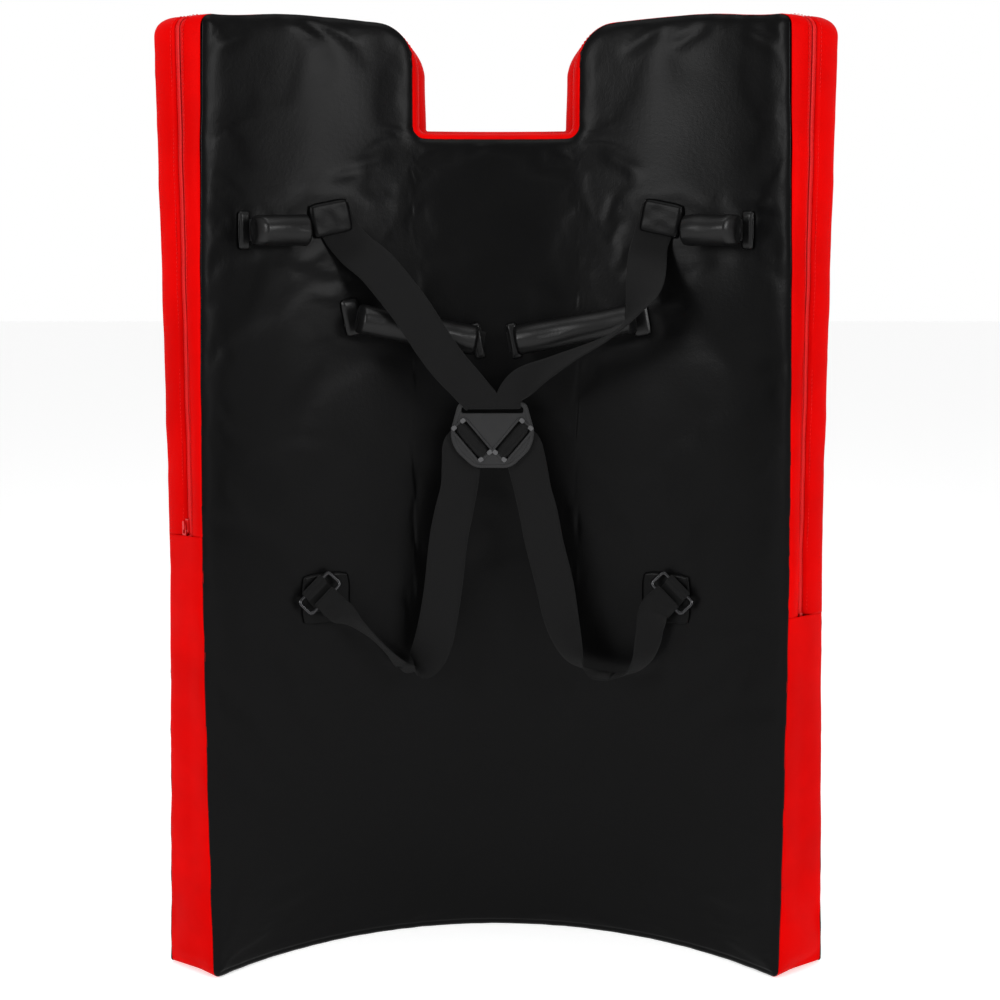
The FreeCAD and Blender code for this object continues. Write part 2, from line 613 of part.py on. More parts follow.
# The plate's corners, across and up from its middle.
YOKE_OUTLINE = [(-33, 33), (33, 33), (41.5, 2), (37, -14), (18, -32), (-18, -32), (-37, -14), (-41.5, 2)]
yoke_body = doc.addObject("PartDesign::Body", "yoke_blank")
yoke_sketch = closed_sketch(yoke_body, "yoke_sketch", "XZ_Plane",
                            [(x, z, "%g" % x, "%g" % z, None, None, None) for x, z in YOKE_OUTLINE])
yoke_pad = yoke_body.newObject("PartDesign::Pad", "yoke_pad")
yoke_pad.Profile = yoke_sketch
yoke_pad.SideType = "Symmetric"
yoke_pad.setExpression("Length", "Sizes.yoke_sheet")
yoke_body.Placement = FreeCAD.Placement(yoke_middle, FreeCAD.Rotation())
slot_lift = 27       # height of the slot over the plate's middle
openings = [local_box("yoke_slot", -size["yoke_slot_length"] / 2, "Sizes.yoke_slot_length", -10, 20,
                      slot_lift - size["yoke_slot_width"] / 2, "Sizes.yoke_slot_width",
                      FreeCAD.Placement(yoke_middle, FreeCAD.Rotation()))]
glides = {}
for side in (-1, 1):
    tilt = math.radians(size["glide_tilt"])
    along = Vector(-side * math.cos(tilt), 0, -math.sin(tilt))
    away = Vector(side * math.sin(tilt), 0, -math.cos(tilt))
    centre = yoke_middle + Vector(side * size["glide_offset"], 0, -size["glide_drop"])
    glides[side] = (centre, along, away)
    place = frame(centre, along, away)
    for low in (-size["glide_width"] / 2, size["glide_bar"] / 2):
        openings.append(local_box("glide_%d_%d" % (side, low), -size["glide_length"] / 2,
                                  "Sizes.glide_length", -10, 20, low,
                                  "(Sizes.glide_width - Sizes.glide_bar) / 2", place))
keep("yoke_plate", doc_cut("yoke_plate", yoke_body, doc_fuse("yoke_openings", *openings)))


# ---------------------------------------------------------------- harness straps

def rear_stations(rows):
    """Rows of (across, height, off, width direction) as strap stations. The width direction is
    given along the rear face, away from it and upwards."""
    stations = []
    for across, height, off, (sideways, away, upwards) in rows:
        out = rear_normal(across)
        width = UP.cross(out) * sideways + out * away + UP * upwards
        stations.append((rear_point(across, height, off), width))
    return stations


# Each station of a run: place across, height, distance from the rear face, direction of the width.
yoke_off = size["yoke_standoff"]
slot_z = size["yoke_centre"] + slot_lift
yoke_x = size["yoke_offset"]
left_run = [
    (-158, 743, 5.9, (1, 0, 0.2)), (-154, 729, 5.9, (0.96, 0, 0.3)), (-146, 715, 6.3, (0.85, 0, 0.5)),
    (-134, 702, 12, (0.74, 0, 0.67)), (-116, 688, 27, (0.7, 0, 0.72)), (-98, 668, 43, (0.7, 0, 0.72)),
    (-80, 645, 54, (0.75, 0, 0.65)), (-58, 612, 56, (0.8, 0, 0.6)), (-40, 590, 55, (0.88, 0, 0.48)),
    (-24, 576, yoke_off + 6, (0.95, 0, 0.3)), (-10, 565, yoke_off + 4, (1, 0, 0.12)),
]
slot_run = [
    (yoke_x, slot_z + 6.5, yoke_off + 3.8, (1, 0, 0)), (yoke_x, slot_z + 1.2, yoke_off + 3.4, (1, 0, 0)),
    (yoke_x, slot_z - 0.6, yoke_off, (1, 0, 0)), (yoke_x, slot_z + 1.2, yoke_off - 3.4, (1, 0, 0)),
    (yoke_x, slot_z + 6.5, yoke_off - 4, (1, 0, 0)),
]
right_run = [
    (0, 566, yoke_off - 5, (1, 0, -0.08)), (13, 574, yoke_off - 3.2, (0.98, 0.15, 0)),
    (26, 582, 49.5, (0.75, 0.65, 0)), (45, 588, 58, (0.35, 0.93, 0.1)),
    (75, 604, 67, (0.05, 1, 0.2)), (105, 621, 70, (0.1, 1, 0.2)), (126, 639, 64, (0.45, 0.9, 0.1)),
    (138, 660, 48, (0.85, 0.45, -0.1)), (143, 682, 28, (0.97, 0, -0.1)), (146, 701, 12, (1, 0, -0.1)),
    (150, 714, 6.5, (1, 0, -0.1)), (154, 728, 5.9, (1, 0, -0.15)), (158, 743, 5.9, (1, 0, -0.15)),
]
keep("shoulder_strap", solid("shoulder_strap", webbing(rear_stations(left_run + slot_run + right_run),
                                                       size["webbing_width"], size["webbing_sheet"])))
for side, tag in ((-1, "left"), (1, "right")):
    keep("shoulder_patch_" + tag,
         curved_patch("shoulder_patch_" + tag, side, "Sizes.shoulder_patch_offset",
                      "Sizes.shoulder_patch_lift", "Sizes.shoulder_patch_width",
                      "Sizes.shoulder_patch_height", "7.8", "Sizes.cover_sheet"))

WAIST_RUNS = {
    -1: [(-34, 497, 41, (0.75, 0, -0.5)), (-36, 473, 40, (0.95, -0.2, -0.2)), (-42, 445, 39, (1, 0, 0)),
         (-47, 419, 38, (1, 0, 0)), (-53, 366, 36, (1, 0, 0)), (-61, 322, 34, (1, 0.2, 0)),
         (-69, 300, 33, (0.9, 0.5, 0)), (-80, 287, 32, (0.6, 0.9, 0.2)), (-93, 292, 30, (0.3, 1, 0.2)),
         (-107, 307, 27, (0.3, 1, 0.25)), (-123, 324, 24, (0.5, 0.9, 0.4)),
         (-137, 338, 21, (0.65, 0.4, 0.6))],
    1: [(30, 497, 41, (0.75, 0, 0.5)), (36, 470, 40, (0.95, 0.2, 0.2)), (42, 445, 39, (1, 0, 0)),
        (48, 415, 38, (1, 0, 0)), (58, 375, 36, (1, 0, 0)), (66, 335, 36, (1, 0.3, 0)),
        (77, 303, 36, (0.8, 0.7, 0)), (94, 287, 36, (0.35, 0.95, 0)), (115, 284, 34, (0, 1, 0.1)),
        (135, 291, 31, (-0.15, 1, 0.15)), (148, 309, 27, (-0.4, 0.95, 0.2)), (155, 329, 23, (-0.7, 0.7, 0.35)),
        (159, 343, 20, (-0.8, 0.35, 0.5))],
}


def glide_run(side):
    """Through one slot of the tri-glide, over its bar, back through the other slot. Each point of the
    route is (distance across the bar, distance behind the plate's middle)."""
    centre, along, away = glides[side]
    route = [(-9, 3.7), (-7.3, 3.3), (-4.75, 0), (-2.2, -3.3), (2.2, -3.3), (4.75, 0), (7.3, 3.3), (13, 3.6)]
    return [(centre + away * q + Vector(0, y, 0), along * -side) for q, y in route]


def ring_run(side):
    """Up to the ring's far bar, through the ring and a little way back under itself. Each point of the
    route is (distance beyond the bar, distance towards the rear face)."""
    centre, bar, reach = anchors[side]
    tip = centre + reach * size["ring_depth"]
    under = reach.cross(bar) * -side
    route = [(16, -3.2), (7, -3.2), (2, -3.4), (-2.4, -2.4), (-3.4, 0), (-2.4, 2.4), (2, 3.4), (12, 4.2)]
    return [(tip + reach * u + under * w, bar * -1) for u, w in route]


for side, tag in ((-1, "left"), (1, "right")):
    stations = glide_run(side) + rear_stations(WAIST_RUNS[side]) + ring_run(side)
    keep("waist_strap_" + tag, solid("waist_strap_" + tag,
                                     webbing(stations, size["webbing_width"], size["webbing_sheet"])))


# ---------------------------------------------------------------- checks and files

doc.recompute()
for obj in doc.Objects:
    if "Invalid" in obj.State or "Error" in obj.State:
        raise RuntimeError("%s failed: %s" % (obj.Name, obj.State))
for name, obj in pieces.items():
    if obj.Shape.isNull() or not obj.Shape.isValid():
        raise RuntimeError("%s is not a valid shape" % name)
os.makedirs("parts", exist_ok=True)
box = FreeCAD.BoundBox()
for name, obj in pieces.items():
    obj.Shape.exportStep(os.path.join("parts", name + ".step"))
    box.add(obj.Shape.BoundBox)
    print("%-26s %2d solids %10.0f mm3" % (name, len(obj.Shape.Solids), obj.Shape.Volume))
print("overall box", [round(v, 1) for v in (box.XMin, box.XMax, box.YMin, box.YMax, box.ZMin, box.ZMax)])
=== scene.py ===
"""Looks of a tall curved kick shield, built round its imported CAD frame. Metres, +Z up, the holder at -Y."""

import math

import bmesh
import bpy
import numpy as np
from mathutils import Matrix, Vector


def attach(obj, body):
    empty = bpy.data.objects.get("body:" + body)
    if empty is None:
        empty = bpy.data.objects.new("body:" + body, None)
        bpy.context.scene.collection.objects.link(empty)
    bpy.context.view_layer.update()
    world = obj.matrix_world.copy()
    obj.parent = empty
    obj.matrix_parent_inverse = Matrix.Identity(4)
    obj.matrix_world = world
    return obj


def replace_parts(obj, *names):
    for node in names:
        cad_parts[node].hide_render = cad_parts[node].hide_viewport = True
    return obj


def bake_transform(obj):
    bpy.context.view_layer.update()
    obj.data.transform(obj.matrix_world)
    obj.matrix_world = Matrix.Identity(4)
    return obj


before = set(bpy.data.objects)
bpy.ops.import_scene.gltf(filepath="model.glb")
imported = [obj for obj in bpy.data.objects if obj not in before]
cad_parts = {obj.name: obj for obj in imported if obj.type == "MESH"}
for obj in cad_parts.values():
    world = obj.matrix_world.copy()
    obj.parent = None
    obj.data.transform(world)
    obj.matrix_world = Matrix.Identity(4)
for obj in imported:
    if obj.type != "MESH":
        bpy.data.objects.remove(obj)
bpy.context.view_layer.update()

# ---------------------------------------------------------------- driving sizes

MM = 0.001
REAR_RADIUS = 365 * MM
PAD_DEPTH = 69 * MM
HALF_ANGLE = math.radians(47.3)
AXIS_Y = -(REAR_RADIUS * math.cos(HALF_ANGLE) + REAR_RADIUS + PAD_DEPTH) / 2
SIDE_S = REAR_RADIUS * HALF_ANGLE            # the side edge, as a length along the rear face's bend
SIDE_X = REAR_RADIUS * math.sin(HALF_ANGLE)
SIDE_TOP = 914 * MM
CROWN = ((0.1175, 0.920), (0.138, 0.9214), (0.160, 0.9221), (0.190, 0.9224), (0.212, 0.9204),
         (0.232, 0.9172), (0.250, 0.9150), (0.268, 0.9140))
SHOULDER_ROUND = 36 * MM
SHOULDER_Z = 884 * MM
NOTCH = 81.5 * MM
NOTCH_FLOOR = 811 * MM
NOTCH_CORNER = 13 * MM
NEAR_CORNER = 9 * MM
FAR_CORNER = 17 * MM
NEAR_FOOT = 8 * MM                           # how round the side edges are where they reach the floor
FAR_FOOT = 5 * MM
SIDE_STEPS = 451
SEAM_SINK = 4.5 * MM                         # how far a seam lies inside the panel's face
SEAM_SHARE = SEAM_SINK / PAD_DEPTH
ZIP_SHARE = 0.42                             # the zip's place in the depth. The frame's slider is at 35 / 69
ZIP_HALF = 4.6 / 69
COVER = 1.2 * MM
ZIP_END_LEFT = 436 * MM
ZIP_END_RIGHT = 356 * MM
WEBBING_WIDTH = 38 * MM
WEBBING_SHEET = 1.8 * MM

# The pad's side edges aren't quite upright: how far the rear one stands out sideways at the foot and at
# the top and bows out between, how far the front one stands out at the foot, and how much thinner the
# edge is at half height. Above SLIDE_FOOT the zip's line stays straight.
REAR_FLARE = (3 * MM, -6.5 * MM)
REAR_BOW = 3.5 * MM
FRONT_FLARE = 8 * MM
SLIDE_FOOT = 430 * MM
EDGE_THINNING = 5 * MM
EDGE_BAND = 0.045                            # how far in from a side edge its rounding at the foot reaches
FLARE_START, FLARE_RUN = 0.2, 0.1            # where along the bend the flare begins and how it builds up

# How many points the outline has along each stretch from the notch's middle outwards.
FLOOR_STEPS, CORNER_STEPS, WALL_STEPS, ROUND_STEPS, CROWN_STEPS, TOP_CORNER_STEPS = 34, 12, 30, 30, 80, 14

CLOTH_STEPS = 14
CLOTH_PRESSURE = 0.6
CLOTH_CAP = 0.8 * MM

CAMERA_PLACE = (0, -1.4592, 0.6953)
CAMERA_TILT = 7.39                           # degrees below level
CAMERA_LENS = 53.45
CAMERA_SHIFT = (0.004, -0.0494)
FLOOR_GLOW = 0.38
WORLD_FRONT, WORLD_BEHIND = 0.42, 1.0        # the surroundings' strength before and behind the shield


# ---------------------------------------------------------------- small helpers

def smooth(t):
    """0 below 0, 1 above 1, and an even rise between."""
    t = np.clip(t, 0, 1)
    return t * t * (3 - 2 * t)


def waves(u, v, seed, count=9, low=20.0, high=90.0, along=1.0):
    """Gentle unevenness between about -1 and 1: a fixed sum of plane waves. along stretches it in v."""
    pick = np.random.default_rng(seed)
    total = np.zeros(np.broadcast(u, v).shape)
    for _ in range(count):
        turn, pace, phase = pick.uniform(0, math.pi), pick.uniform(low, high), pick.uniform(0, 2 * math.pi)
        total += np.sin(u * math.cos(turn) * pace + v * math.sin(turn) * pace / along + phase)
    return total / math.sqrt(count)


def crease(u, v, start, end, width):
    """A soft line from start to end: 1 on it, 0 away from it, fading out at its two ends."""
    start, end = np.array(start), np.array(end)
    run = end - start
    share = ((u - start[0]) * run[0] + (v - start[1]) * run[1]) / (run @ run)
    off = np.abs((u - start[0]) * run[1] - (v - start[1]) * run[0]) / math.sqrt(run @ run)
    return np.exp(-(off / width) ** 2) * smooth(share * 3) * smooth((1 - share) * 3)


def new_object(name, mesh, material):
    """A smooth-shaded object in the scene with one material."""
    obj = bpy.data.objects.new(name, mesh)
    bpy.context.scene.collection.objects.link(obj)
    mesh.materials.clear()
    mesh.materials.append(material)
    for polygon in mesh.polygons:
        polygon.use_smooth = True
    return obj


def give_uv(mesh, uv_of):
    """Gives a mesh its UV map. uv_of turns the corners' vertex numbers into rows of (u, v)."""
    layer = mesh.uv_layers.new(name="UVMap")
    corners = np.empty(len(mesh.loops), int)
    mesh.loops.foreach_get("vertex_index", corners)
    layer.data.foreach_set("uv", uv_of(corners).astype(np.float32).ravel())


def grid_object(name, points, material, closed_rows=False, closed_columns=False, uv=None, flip=False):
    """A mesh from a rows x columns x 3 array of points, with uv as a rows x columns x 2 array."""
    rows, columns = points.shape[:2]
    faces = []
    for i in range(rows if closed_rows else rows - 1):
        for j in range(columns if closed_columns else columns - 1):
            a, b = i * columns + j, i * columns + (j + 1) % columns
            c, d = (i + 1) % rows * columns + (j + 1) % columns, (i + 1) % rows * columns + j
            faces.append((a, d, c, b) if flip else (a, b, c, d))
    mesh = bpy.data.meshes.new(name)
    mesh.from_pydata(points.reshape(-1, 3).tolist(), [], faces)
    if uv is not None:
        give_uv(mesh, lambda corners: uv.reshape(-1, 2)[corners])
    mesh.update()
    return new_object(name, mesh, material)


def apply_modifiers(obj):
    """Bakes obj's modifiers into its mesh."""
    graph = bpy.context.evaluated_depsgraph_get()
    mesh = bpy.data.meshes.new_from_object(obj.evaluated_get(graph))
    for modifier in list(obj.modifiers):
        obj.modifiers.remove(modifier)
    obj.data = mesh
    return obj


def thicken(obj, thickness):
    """Gives a sheet its thickness, inwards from the side that its normals point to."""
    modifier = obj.modifiers.new("thickness", "SOLIDIFY")
    modifier.thickness = thickness
    modifier.offset = -1
    return apply_modifiers(obj)


def close_ends(obj):
    """Fills the open ends of a tube and turns its faces outwards."""
    closing = bmesh.new()
    closing.from_mesh(obj.data)
    bmesh.ops.holes_fill(closing, edges=[e for e in closing.edges if e.is_boundary], sides=0)
    bmesh.ops.recalc_face_normals(closing, faces=closing.faces)
    closing.to_mesh(obj.data)
    closing.free()


def joined(name, parts):
    """Several mesh objects as one, with their own materials."""
    mesh = bmesh.new()
    materials = []
    for part in parts:
        own = part.data.materials[0]
        if own not in materials:
            materials.append(own)
        start = len(mesh.faces)
        part.data.transform(part.matrix_world)
        mesh.from_mesh(part.data)
        mesh.faces.ensure_lookup_table()
        for face in mesh.faces[start:]:
            face.material_index = materials.index(own)
        bpy.data.objects.remove(part)
    data = bpy.data.meshes.new(name)
    mesh.to_mesh(data)
    mesh.free()
    obj = bpy.data.objects.new(name, data)
    bpy.context.scene.collection.objects.link(obj)
    for material in materials:
        data.materials.append(material)
    return obj


# ---------------------------------------------------------------- materials

def node(tree, kind, **values):
    """A shader node with some of its inputs or settings given."""
    made = tree.nodes.new(kind)
    for key, value in values.items():
        if hasattr(made, key):
            setattr(made, key, value)
        else:
            made.inputs[key.replace("_", " ")].default_value = value
    return made


def wire(source, output, target, entry):
    """Leads one node's output into another's input."""
    source.id_data.links.new(source.outputs[output], target.inputs[entry])


def surface(name, colour, roughness, specular=0.5, metallic=0.0, sheen=0.0):
    """A new material: (material, its node tree, its shader, its object coordinates)."""
    material = bpy.data.materials.new(name)
    material.use_nodes = True
    tree = material.node_tree
    shader = tree.nodes["Principled BSDF"]
    shader.inputs["Base Color"].default_value = (*colour, 1)
    shader.inputs["Roughness"].default_value = roughness
    shader.inputs["Specular IOR Level"].default_value = specular
    shader.inputs["Metallic"].default_value = metallic
    shader.inputs["Sheen Weight"].default_value = sheen
    return material, tree, shader, tree.nodes.new("ShaderNodeTexCoord")


def vary(tree, shader, coordinates, colour, dark, scale, rough_low, rough_high):
    """Slow drifts of colour and gloss."""
    noise = node(tree, "ShaderNodeTexNoise", Scale=scale, Detail=4.0, Roughness=0.6)
    tree.links.new(coordinates, noise.inputs["Vector"])
    ramp = node(tree, "ShaderNodeValToRGB")
    ramp.color_ramp.elements[0].color = (*[c * dark for c in colour], 1)
    ramp.color_ramp.elements[0].position = 0.35
    ramp.color_ramp.elements[1].color = (*colour, 1)
    ramp.color_ramp.elements[1].position = 0.65
    wire(noise, "Fac", ramp, "Fac")
    wire(ramp, "Color", shader, "Base Color")
    gloss = node(tree, "ShaderNodeMapRange", To_Min=rough_low, To_Max=rough_high)
    wire(noise, "Fac", gloss, "Value")
    wire(gloss, "Result", shader, "Roughness")


def coated_cloth(name, colour, roughness, specular):
    """Polyurethane-coated cloth: a fine pebbled grain with a faint weave pressing through."""
    material, tree, shader, place = surface(name, colour, roughness, specular)
    where = place.outputs["Object"]
    vary(tree, shader, where, colour, 0.8, 9.0, roughness - 0.05, roughness + 0.07)
    grain = node(tree, "ShaderNodeTexVoronoi", feature="F1", Scale=900.0)
    tree.links.new(where, grain.inputs["Vector"])
    soft = node(tree, "ShaderNodeTexNoise", Scale=260.0, Detail=3.0)
    tree.links.new(where, soft.inputs["Vector"])
    fine = node(tree, "ShaderNodeBump", Strength=0.16, Distance=0.0003)
    wire(grain, "Distance", fine, "Height")
    broad = node(tree, "ShaderNodeBump", Strength=0.12, Distance=0.001)
    wire(soft, "Fac", broad, "Height")
    wire(fine, "Normal", broad, "Normal")
    wire(broad, "Normal", shader, "Normal")
    return material


def woven(name, colour, rib=0.0019, pick=0.0011):
    """Webbing with lengthways ribs crossed by its weft. Its UV is in metres, along and across."""
    material, tree, shader, place = surface(name, colour, 0.8, 0.12, sheen=0.03)
    split = node(tree, "ShaderNodeSeparateXYZ")
    wire(place, "UV", split, "Vector")
    heights = []
    for output, pitch in (("X", pick), ("Y", rib)):
        turns = node(tree, "ShaderNodeMath", operation="MULTIPLY")
        wire(split, output, turns, 0)
        turns.inputs[1].default_value = 2 * math.pi / pitch
        ridge = node(tree, "ShaderNodeMath", operation="SINE")
        wire(turns, 0, ridge, 0)
        heights.append(ridge)
    weave = node(tree, "ShaderNodeMath", operation="MULTIPLY")
    wire(heights[0], 0, weave, 0)
    wire(heights[1], 0, weave, 1)
    bump = node(tree, "ShaderNodeBump", Strength=0.55, Distance=0.0004)
    wire(weave, 0, bump, "Height")
    wire(bump, "Normal", shader, "Normal")
    shade = node(tree, "ShaderNodeMapRange", From_Min=-1.0, From_Max=1.0)
    wire(weave, 0, shade, "Value")
    ramp = node(tree, "ShaderNodeValToRGB")
    ramp.color_ramp.elements[0].color = (*[c * 0.45 for c in colour], 1)
    ramp.color_ramp.elements[1].color = (*[c * 1.5 for c in colour], 1)
    wire(shade, "Result", ramp, "Fac")
    wire(ramp, "Color", shader, "Base Color")
    return material


def moulded(name, colour, roughness, specular=0.5, metallic=0.0, scale=700.0):
    """Moulded plastic or drawn metal with a fine surface texture."""
    material, tree, shader, place = surface(name, colour, roughness, specular, metallic)
    where = place.outputs["Object"]
    vary(tree, shader, where, colour, 0.85, 60.0, roughness - 0.06, roughness + 0.08)
    noise = node(tree, "ShaderNodeTexNoise", Scale=scale, Detail=4.0)
    tree.links.new(where, noise.inputs["Vector"])
    bump = node(tree, "ShaderNodeBump", Strength=0.08, Distance=0.0003)
    wire(noise, "Fac", bump, "Height")
    wire(bump, "Normal", shader, "Normal")
    return material


BLACK_COVER = coated_cloth("black_cover", (0.0019, 0.0019, 0.0020), 0.34, 0.07)
RED_COVER = coated_cloth("red_cover", (0.57, 0.0008, 0.0006), 0.5, 0.012)
BLACK_GRIP = coated_cloth("black_grip", (0.0036, 0.0036, 0.0037), 0.33, 0.2)
WEBBING = woven("black_webbing", (0.0034, 0.0034, 0.0035))
ZIP_CLOTH = woven("red_zip_cloth", (0.62, 0.003, 0.003), rib=0.0009, pick=0.0009)
THREAD = woven("black_thread", (0.032, 0.032, 0.033), rib=0.0005, pick=0.0012)
RED_THREAD = woven("red_thread", (0.7, 0.004, 0.004), rib=0.0005, pick=0.0012)
COIL = moulded("red_coil", (0.62, 0.004, 0.004), 0.45, 0.15)
PLASTIC = moulded("black_plastic", (0.013, 0.013, 0.0135), 0.34, 0.25)
# Pale grey plastic for the small lumps at the tri-glide windows' corners: its lighter colour is a painted
# highlight for light caught on the rims' corners.
PAINTED_HIGHLIGHT_PLASTIC = moulded("painted_highlight_plastic", (0.055, 0.055, 0.057), 0.36, 0.4)
STEEL = moulded("dark_steel", (0.045, 0.045, 0.047), 0.27, 0.5, metallic=1.0, scale=300.0)
RED_METAL = moulded("red_enamelled_metal", (0.55, 0.006, 0.006), 0.3, 0.4)


# ---------------------------------------------------------------- the pad's surface

def on_pad(s, z, share, lift=0.0):
    """Points of the pad: s along the rear face's bend, z up, share of the depth, and lift away from
    the pad's middle."""
    s, z, share, lift = np.broadcast_arrays(s, z, share, lift)
    near_side = smooth((np.abs(s) - SIDE_S + EDGE_BAND) / EDGE_BAND)
    foot_round = NEAR_FOOT + (FAR_FOOT - NEAR_FOOT) * share
    foot = np.clip(1 - z / foot_round, 0, 1)
    side_part = smooth((np.abs(s) - FLARE_START) / FLARE_RUN)
    up = np.clip(z / SIDE_TOP, 0, 1)
    rear = REAR_FLARE[0] * (1 - up) + REAR_FLARE[1] * up + REAR_BOW * np.sin(up * math.pi)
    front = FRONT_FLARE * np.clip(1 - z / SLIDE_FOOT, 0, 1)
    flare = rear * np.clip(1 - share / ZIP_SHARE, 0, 1) + front * share
    sideways = math.cos(HALF_ANGLE) * (1 + share * PAD_DEPTH / REAR_RADIUS)
    thinner = EDGE_THINNING * np.sin(up * math.pi) * side_part
    wobble = 0.22 * MM * (np.sin(z * 61 + share * 3) + 0.6 * np.sin(z * 113 + 2 + share * 5))
    inward = foot_round * (1 - np.sqrt(1 - foot ** 2)) + wobble * smooth(z / 0.03) * smooth((0.9 - z) / 0.03)
    s = s + np.sign(s) * (flare / sideways * side_part - inward * near_side)
    radius = REAR_RADIUS + share * PAD_DEPTH + thinner * (0.5 - share) + np.where(share < 0.5, -lift, lift)
    x_rear = REAR_RADIUS * np.sin(s / REAR_RADIUS)
    wide = smooth((np.abs(x_rear) - NOTCH - SHOULDER_ROUND) / (SIDE_X - NOTCH - SHOULDER_ROUND))
    x = x_rear * (1 + wide * (radius / REAR_RADIUS - 1))
    y = AXIS_Y + np.sqrt(radius ** 2 - x ** 2)
    return np.stack([x, y, z], -1)


def as_s(x):
    """A sideways place as a length along the rear face's bend."""
    return REAR_RADIUS * np.arcsin(np.asarray(x) / REAR_RADIUS)


def outline(share):
    """The cover's edge at a share of the depth, from the left side's foot over both wings and through
    the notch to the right side's foot: arrays of s, z and the two parts of the outward direction."""
    corner = NEAR_CORNER + (FAR_CORNER - NEAR_CORNER) * share
    turns = []

    def line(x0, z0, x1, z1, count):
        t = np.linspace(0, 1, count, endpoint=False)
        turns.append((as_s(x0 + (x1 - x0) * t), z0 + (z1 - z0) * t))

    def arc(middle_s, middle_z, radius, start, end, count):
        t = np.radians(np.linspace(start, end, count, endpoint=False))
        turns.append((middle_s + radius * np.cos(t), middle_z + radius * np.sin(t)))

    line(0, NOTCH_FLOOR, NOTCH - NOTCH_CORNER, NOTCH_FLOOR, FLOOR_STEPS)
    arc(as_s(NOTCH) - NOTCH_CORNER, NOTCH_FLOOR + NOTCH_CORNER, NOTCH_CORNER, -90, 0, CORNER_STEPS)
    line(NOTCH, NOTCH_FLOOR + NOTCH_CORNER, NOTCH, SHOULDER_Z, WALL_STEPS)
    arc(as_s(NOTCH) + SHOULDER_ROUND, SHOULDER_Z, SHOULDER_ROUND, 180, 90, ROUND_STEPS)
    top_s = np.linspace(as_s(NOTCH) + SHOULDER_ROUND, SIDE_S - corner, CROWN_STEPS, endpoint=False)
    crown = np.array(CROWN)
    rises = np.interp(top_s, as_s(crown[:, 0]), crown[:, 1])
    turns.append((top_s, np.convolve(np.pad(rises, 6, mode="edge"), np.ones(13) / 13, "valid")))
    arc(SIDE_S - corner, SIDE_TOP - corner, corner, 90, 0, TOP_CORNER_STEPS)
    side_z = np.concatenate([np.linspace(SIDE_TOP - corner, 0.010, SIDE_STEPS - 12, endpoint=False),
                             0.010 * (1 - np.sin(np.linspace(0, math.pi / 2, 12)))])
    turns.append((np.full(SIDE_STEPS, SIDE_S), side_z))
    s = np.concatenate([turn[0] for turn in turns])
    z = np.concatenate([turn[1] for turn in turns])
    s = np.concatenate([-s[:0:-1], s])
    z = np.concatenate([z[:0:-1], z])
    ds, dz = np.gradient(s), np.gradient(z)
    length = np.hypot(ds, dz)
    return s, z, -dz / length, ds / length


EDGE_S, EDGE_Z, EDGE_OUT_S, EDGE_OUT_Z = outline(0.0)
COUNT = len(EDGE_S)
MIDDLE = COUNT // 2


def notch_part(s, z):
    """1 along the notch's floor and walls, fading out up the shoulders."""
    return smooth((as_s(NOTCH) + 0.03 - np.abs(s)) / 0.02) * smooth((0.905 - z) / 0.03)


def along_outline(start, stop, share, out):
    """Points along part of the outline, out from it by a length or an array of lengths."""
    s, z, out_s, out_z = (values[start:stop] for values in outline(share))
    return on_pad(s + out_s * out, np.maximum(z + out_z * out, 0), share)


def edge_puckers(s, z, distance, seed):
    """Small gathers that run in from a seam."""
    return waves(s * 1.4, z, seed, 10, 140, 330) * np.exp(-distance / 0.012)


def bulge(s, z, share, low, high, near, far):
    """How far a strip of gusset between two depth shares stands out: near where the strip is on the
    rear half, far on the front half, and more in the notch."""
    place = np.clip((share - low) / (high - low), 0, 1)
    round_over = np.sqrt(np.clip(np.sin(place * math.pi), 0, 1))
    notch = notch_part(s, z)
    height = near * (1 - share) + far * share + notch * (1.2 * near + 7.5 * MM * share ** 1.5)
    over_top = smooth((z - 0.895) / 0.015) * (1 - notch) * (1 - share)
    height = height * (1 - over_top * np.where(s < 0, 0.9, 0.45))
    foot = smooth(z / 0.02)
    return round_over * height * foot


def edge_distance(s, z):
    """The distance to the nearest part of the cover's edge."""
    s, z = s.ravel(), z.ravel()
    nearest = np.minimum(SIDE_S - np.abs(s), z)
    upper = np.nonzero(z > 0.72)[0]
    edge = np.stack([EDGE_S, EDGE_Z], 1)[EDGE_Z > 0.7]
    for first in range(0, len(upper), 2000):
        some = upper[first:first + 2000]
        gaps = np.hypot(s[some, None] - edge[None, :, 0], z[some, None] - edge[None, :, 1]).min(1)
        nearest[some] = np.minimum(nearest[some], gaps)
    return nearest


def closing_up(low, high, count, ends=0.72):
    """Places from low to high that lie closer together towards both ends."""
    t = np.linspace(0, 1, count)
    return low + (high - low) * (t - ends * np.sin(2 * math.pi * t) / (2 * math.pi))


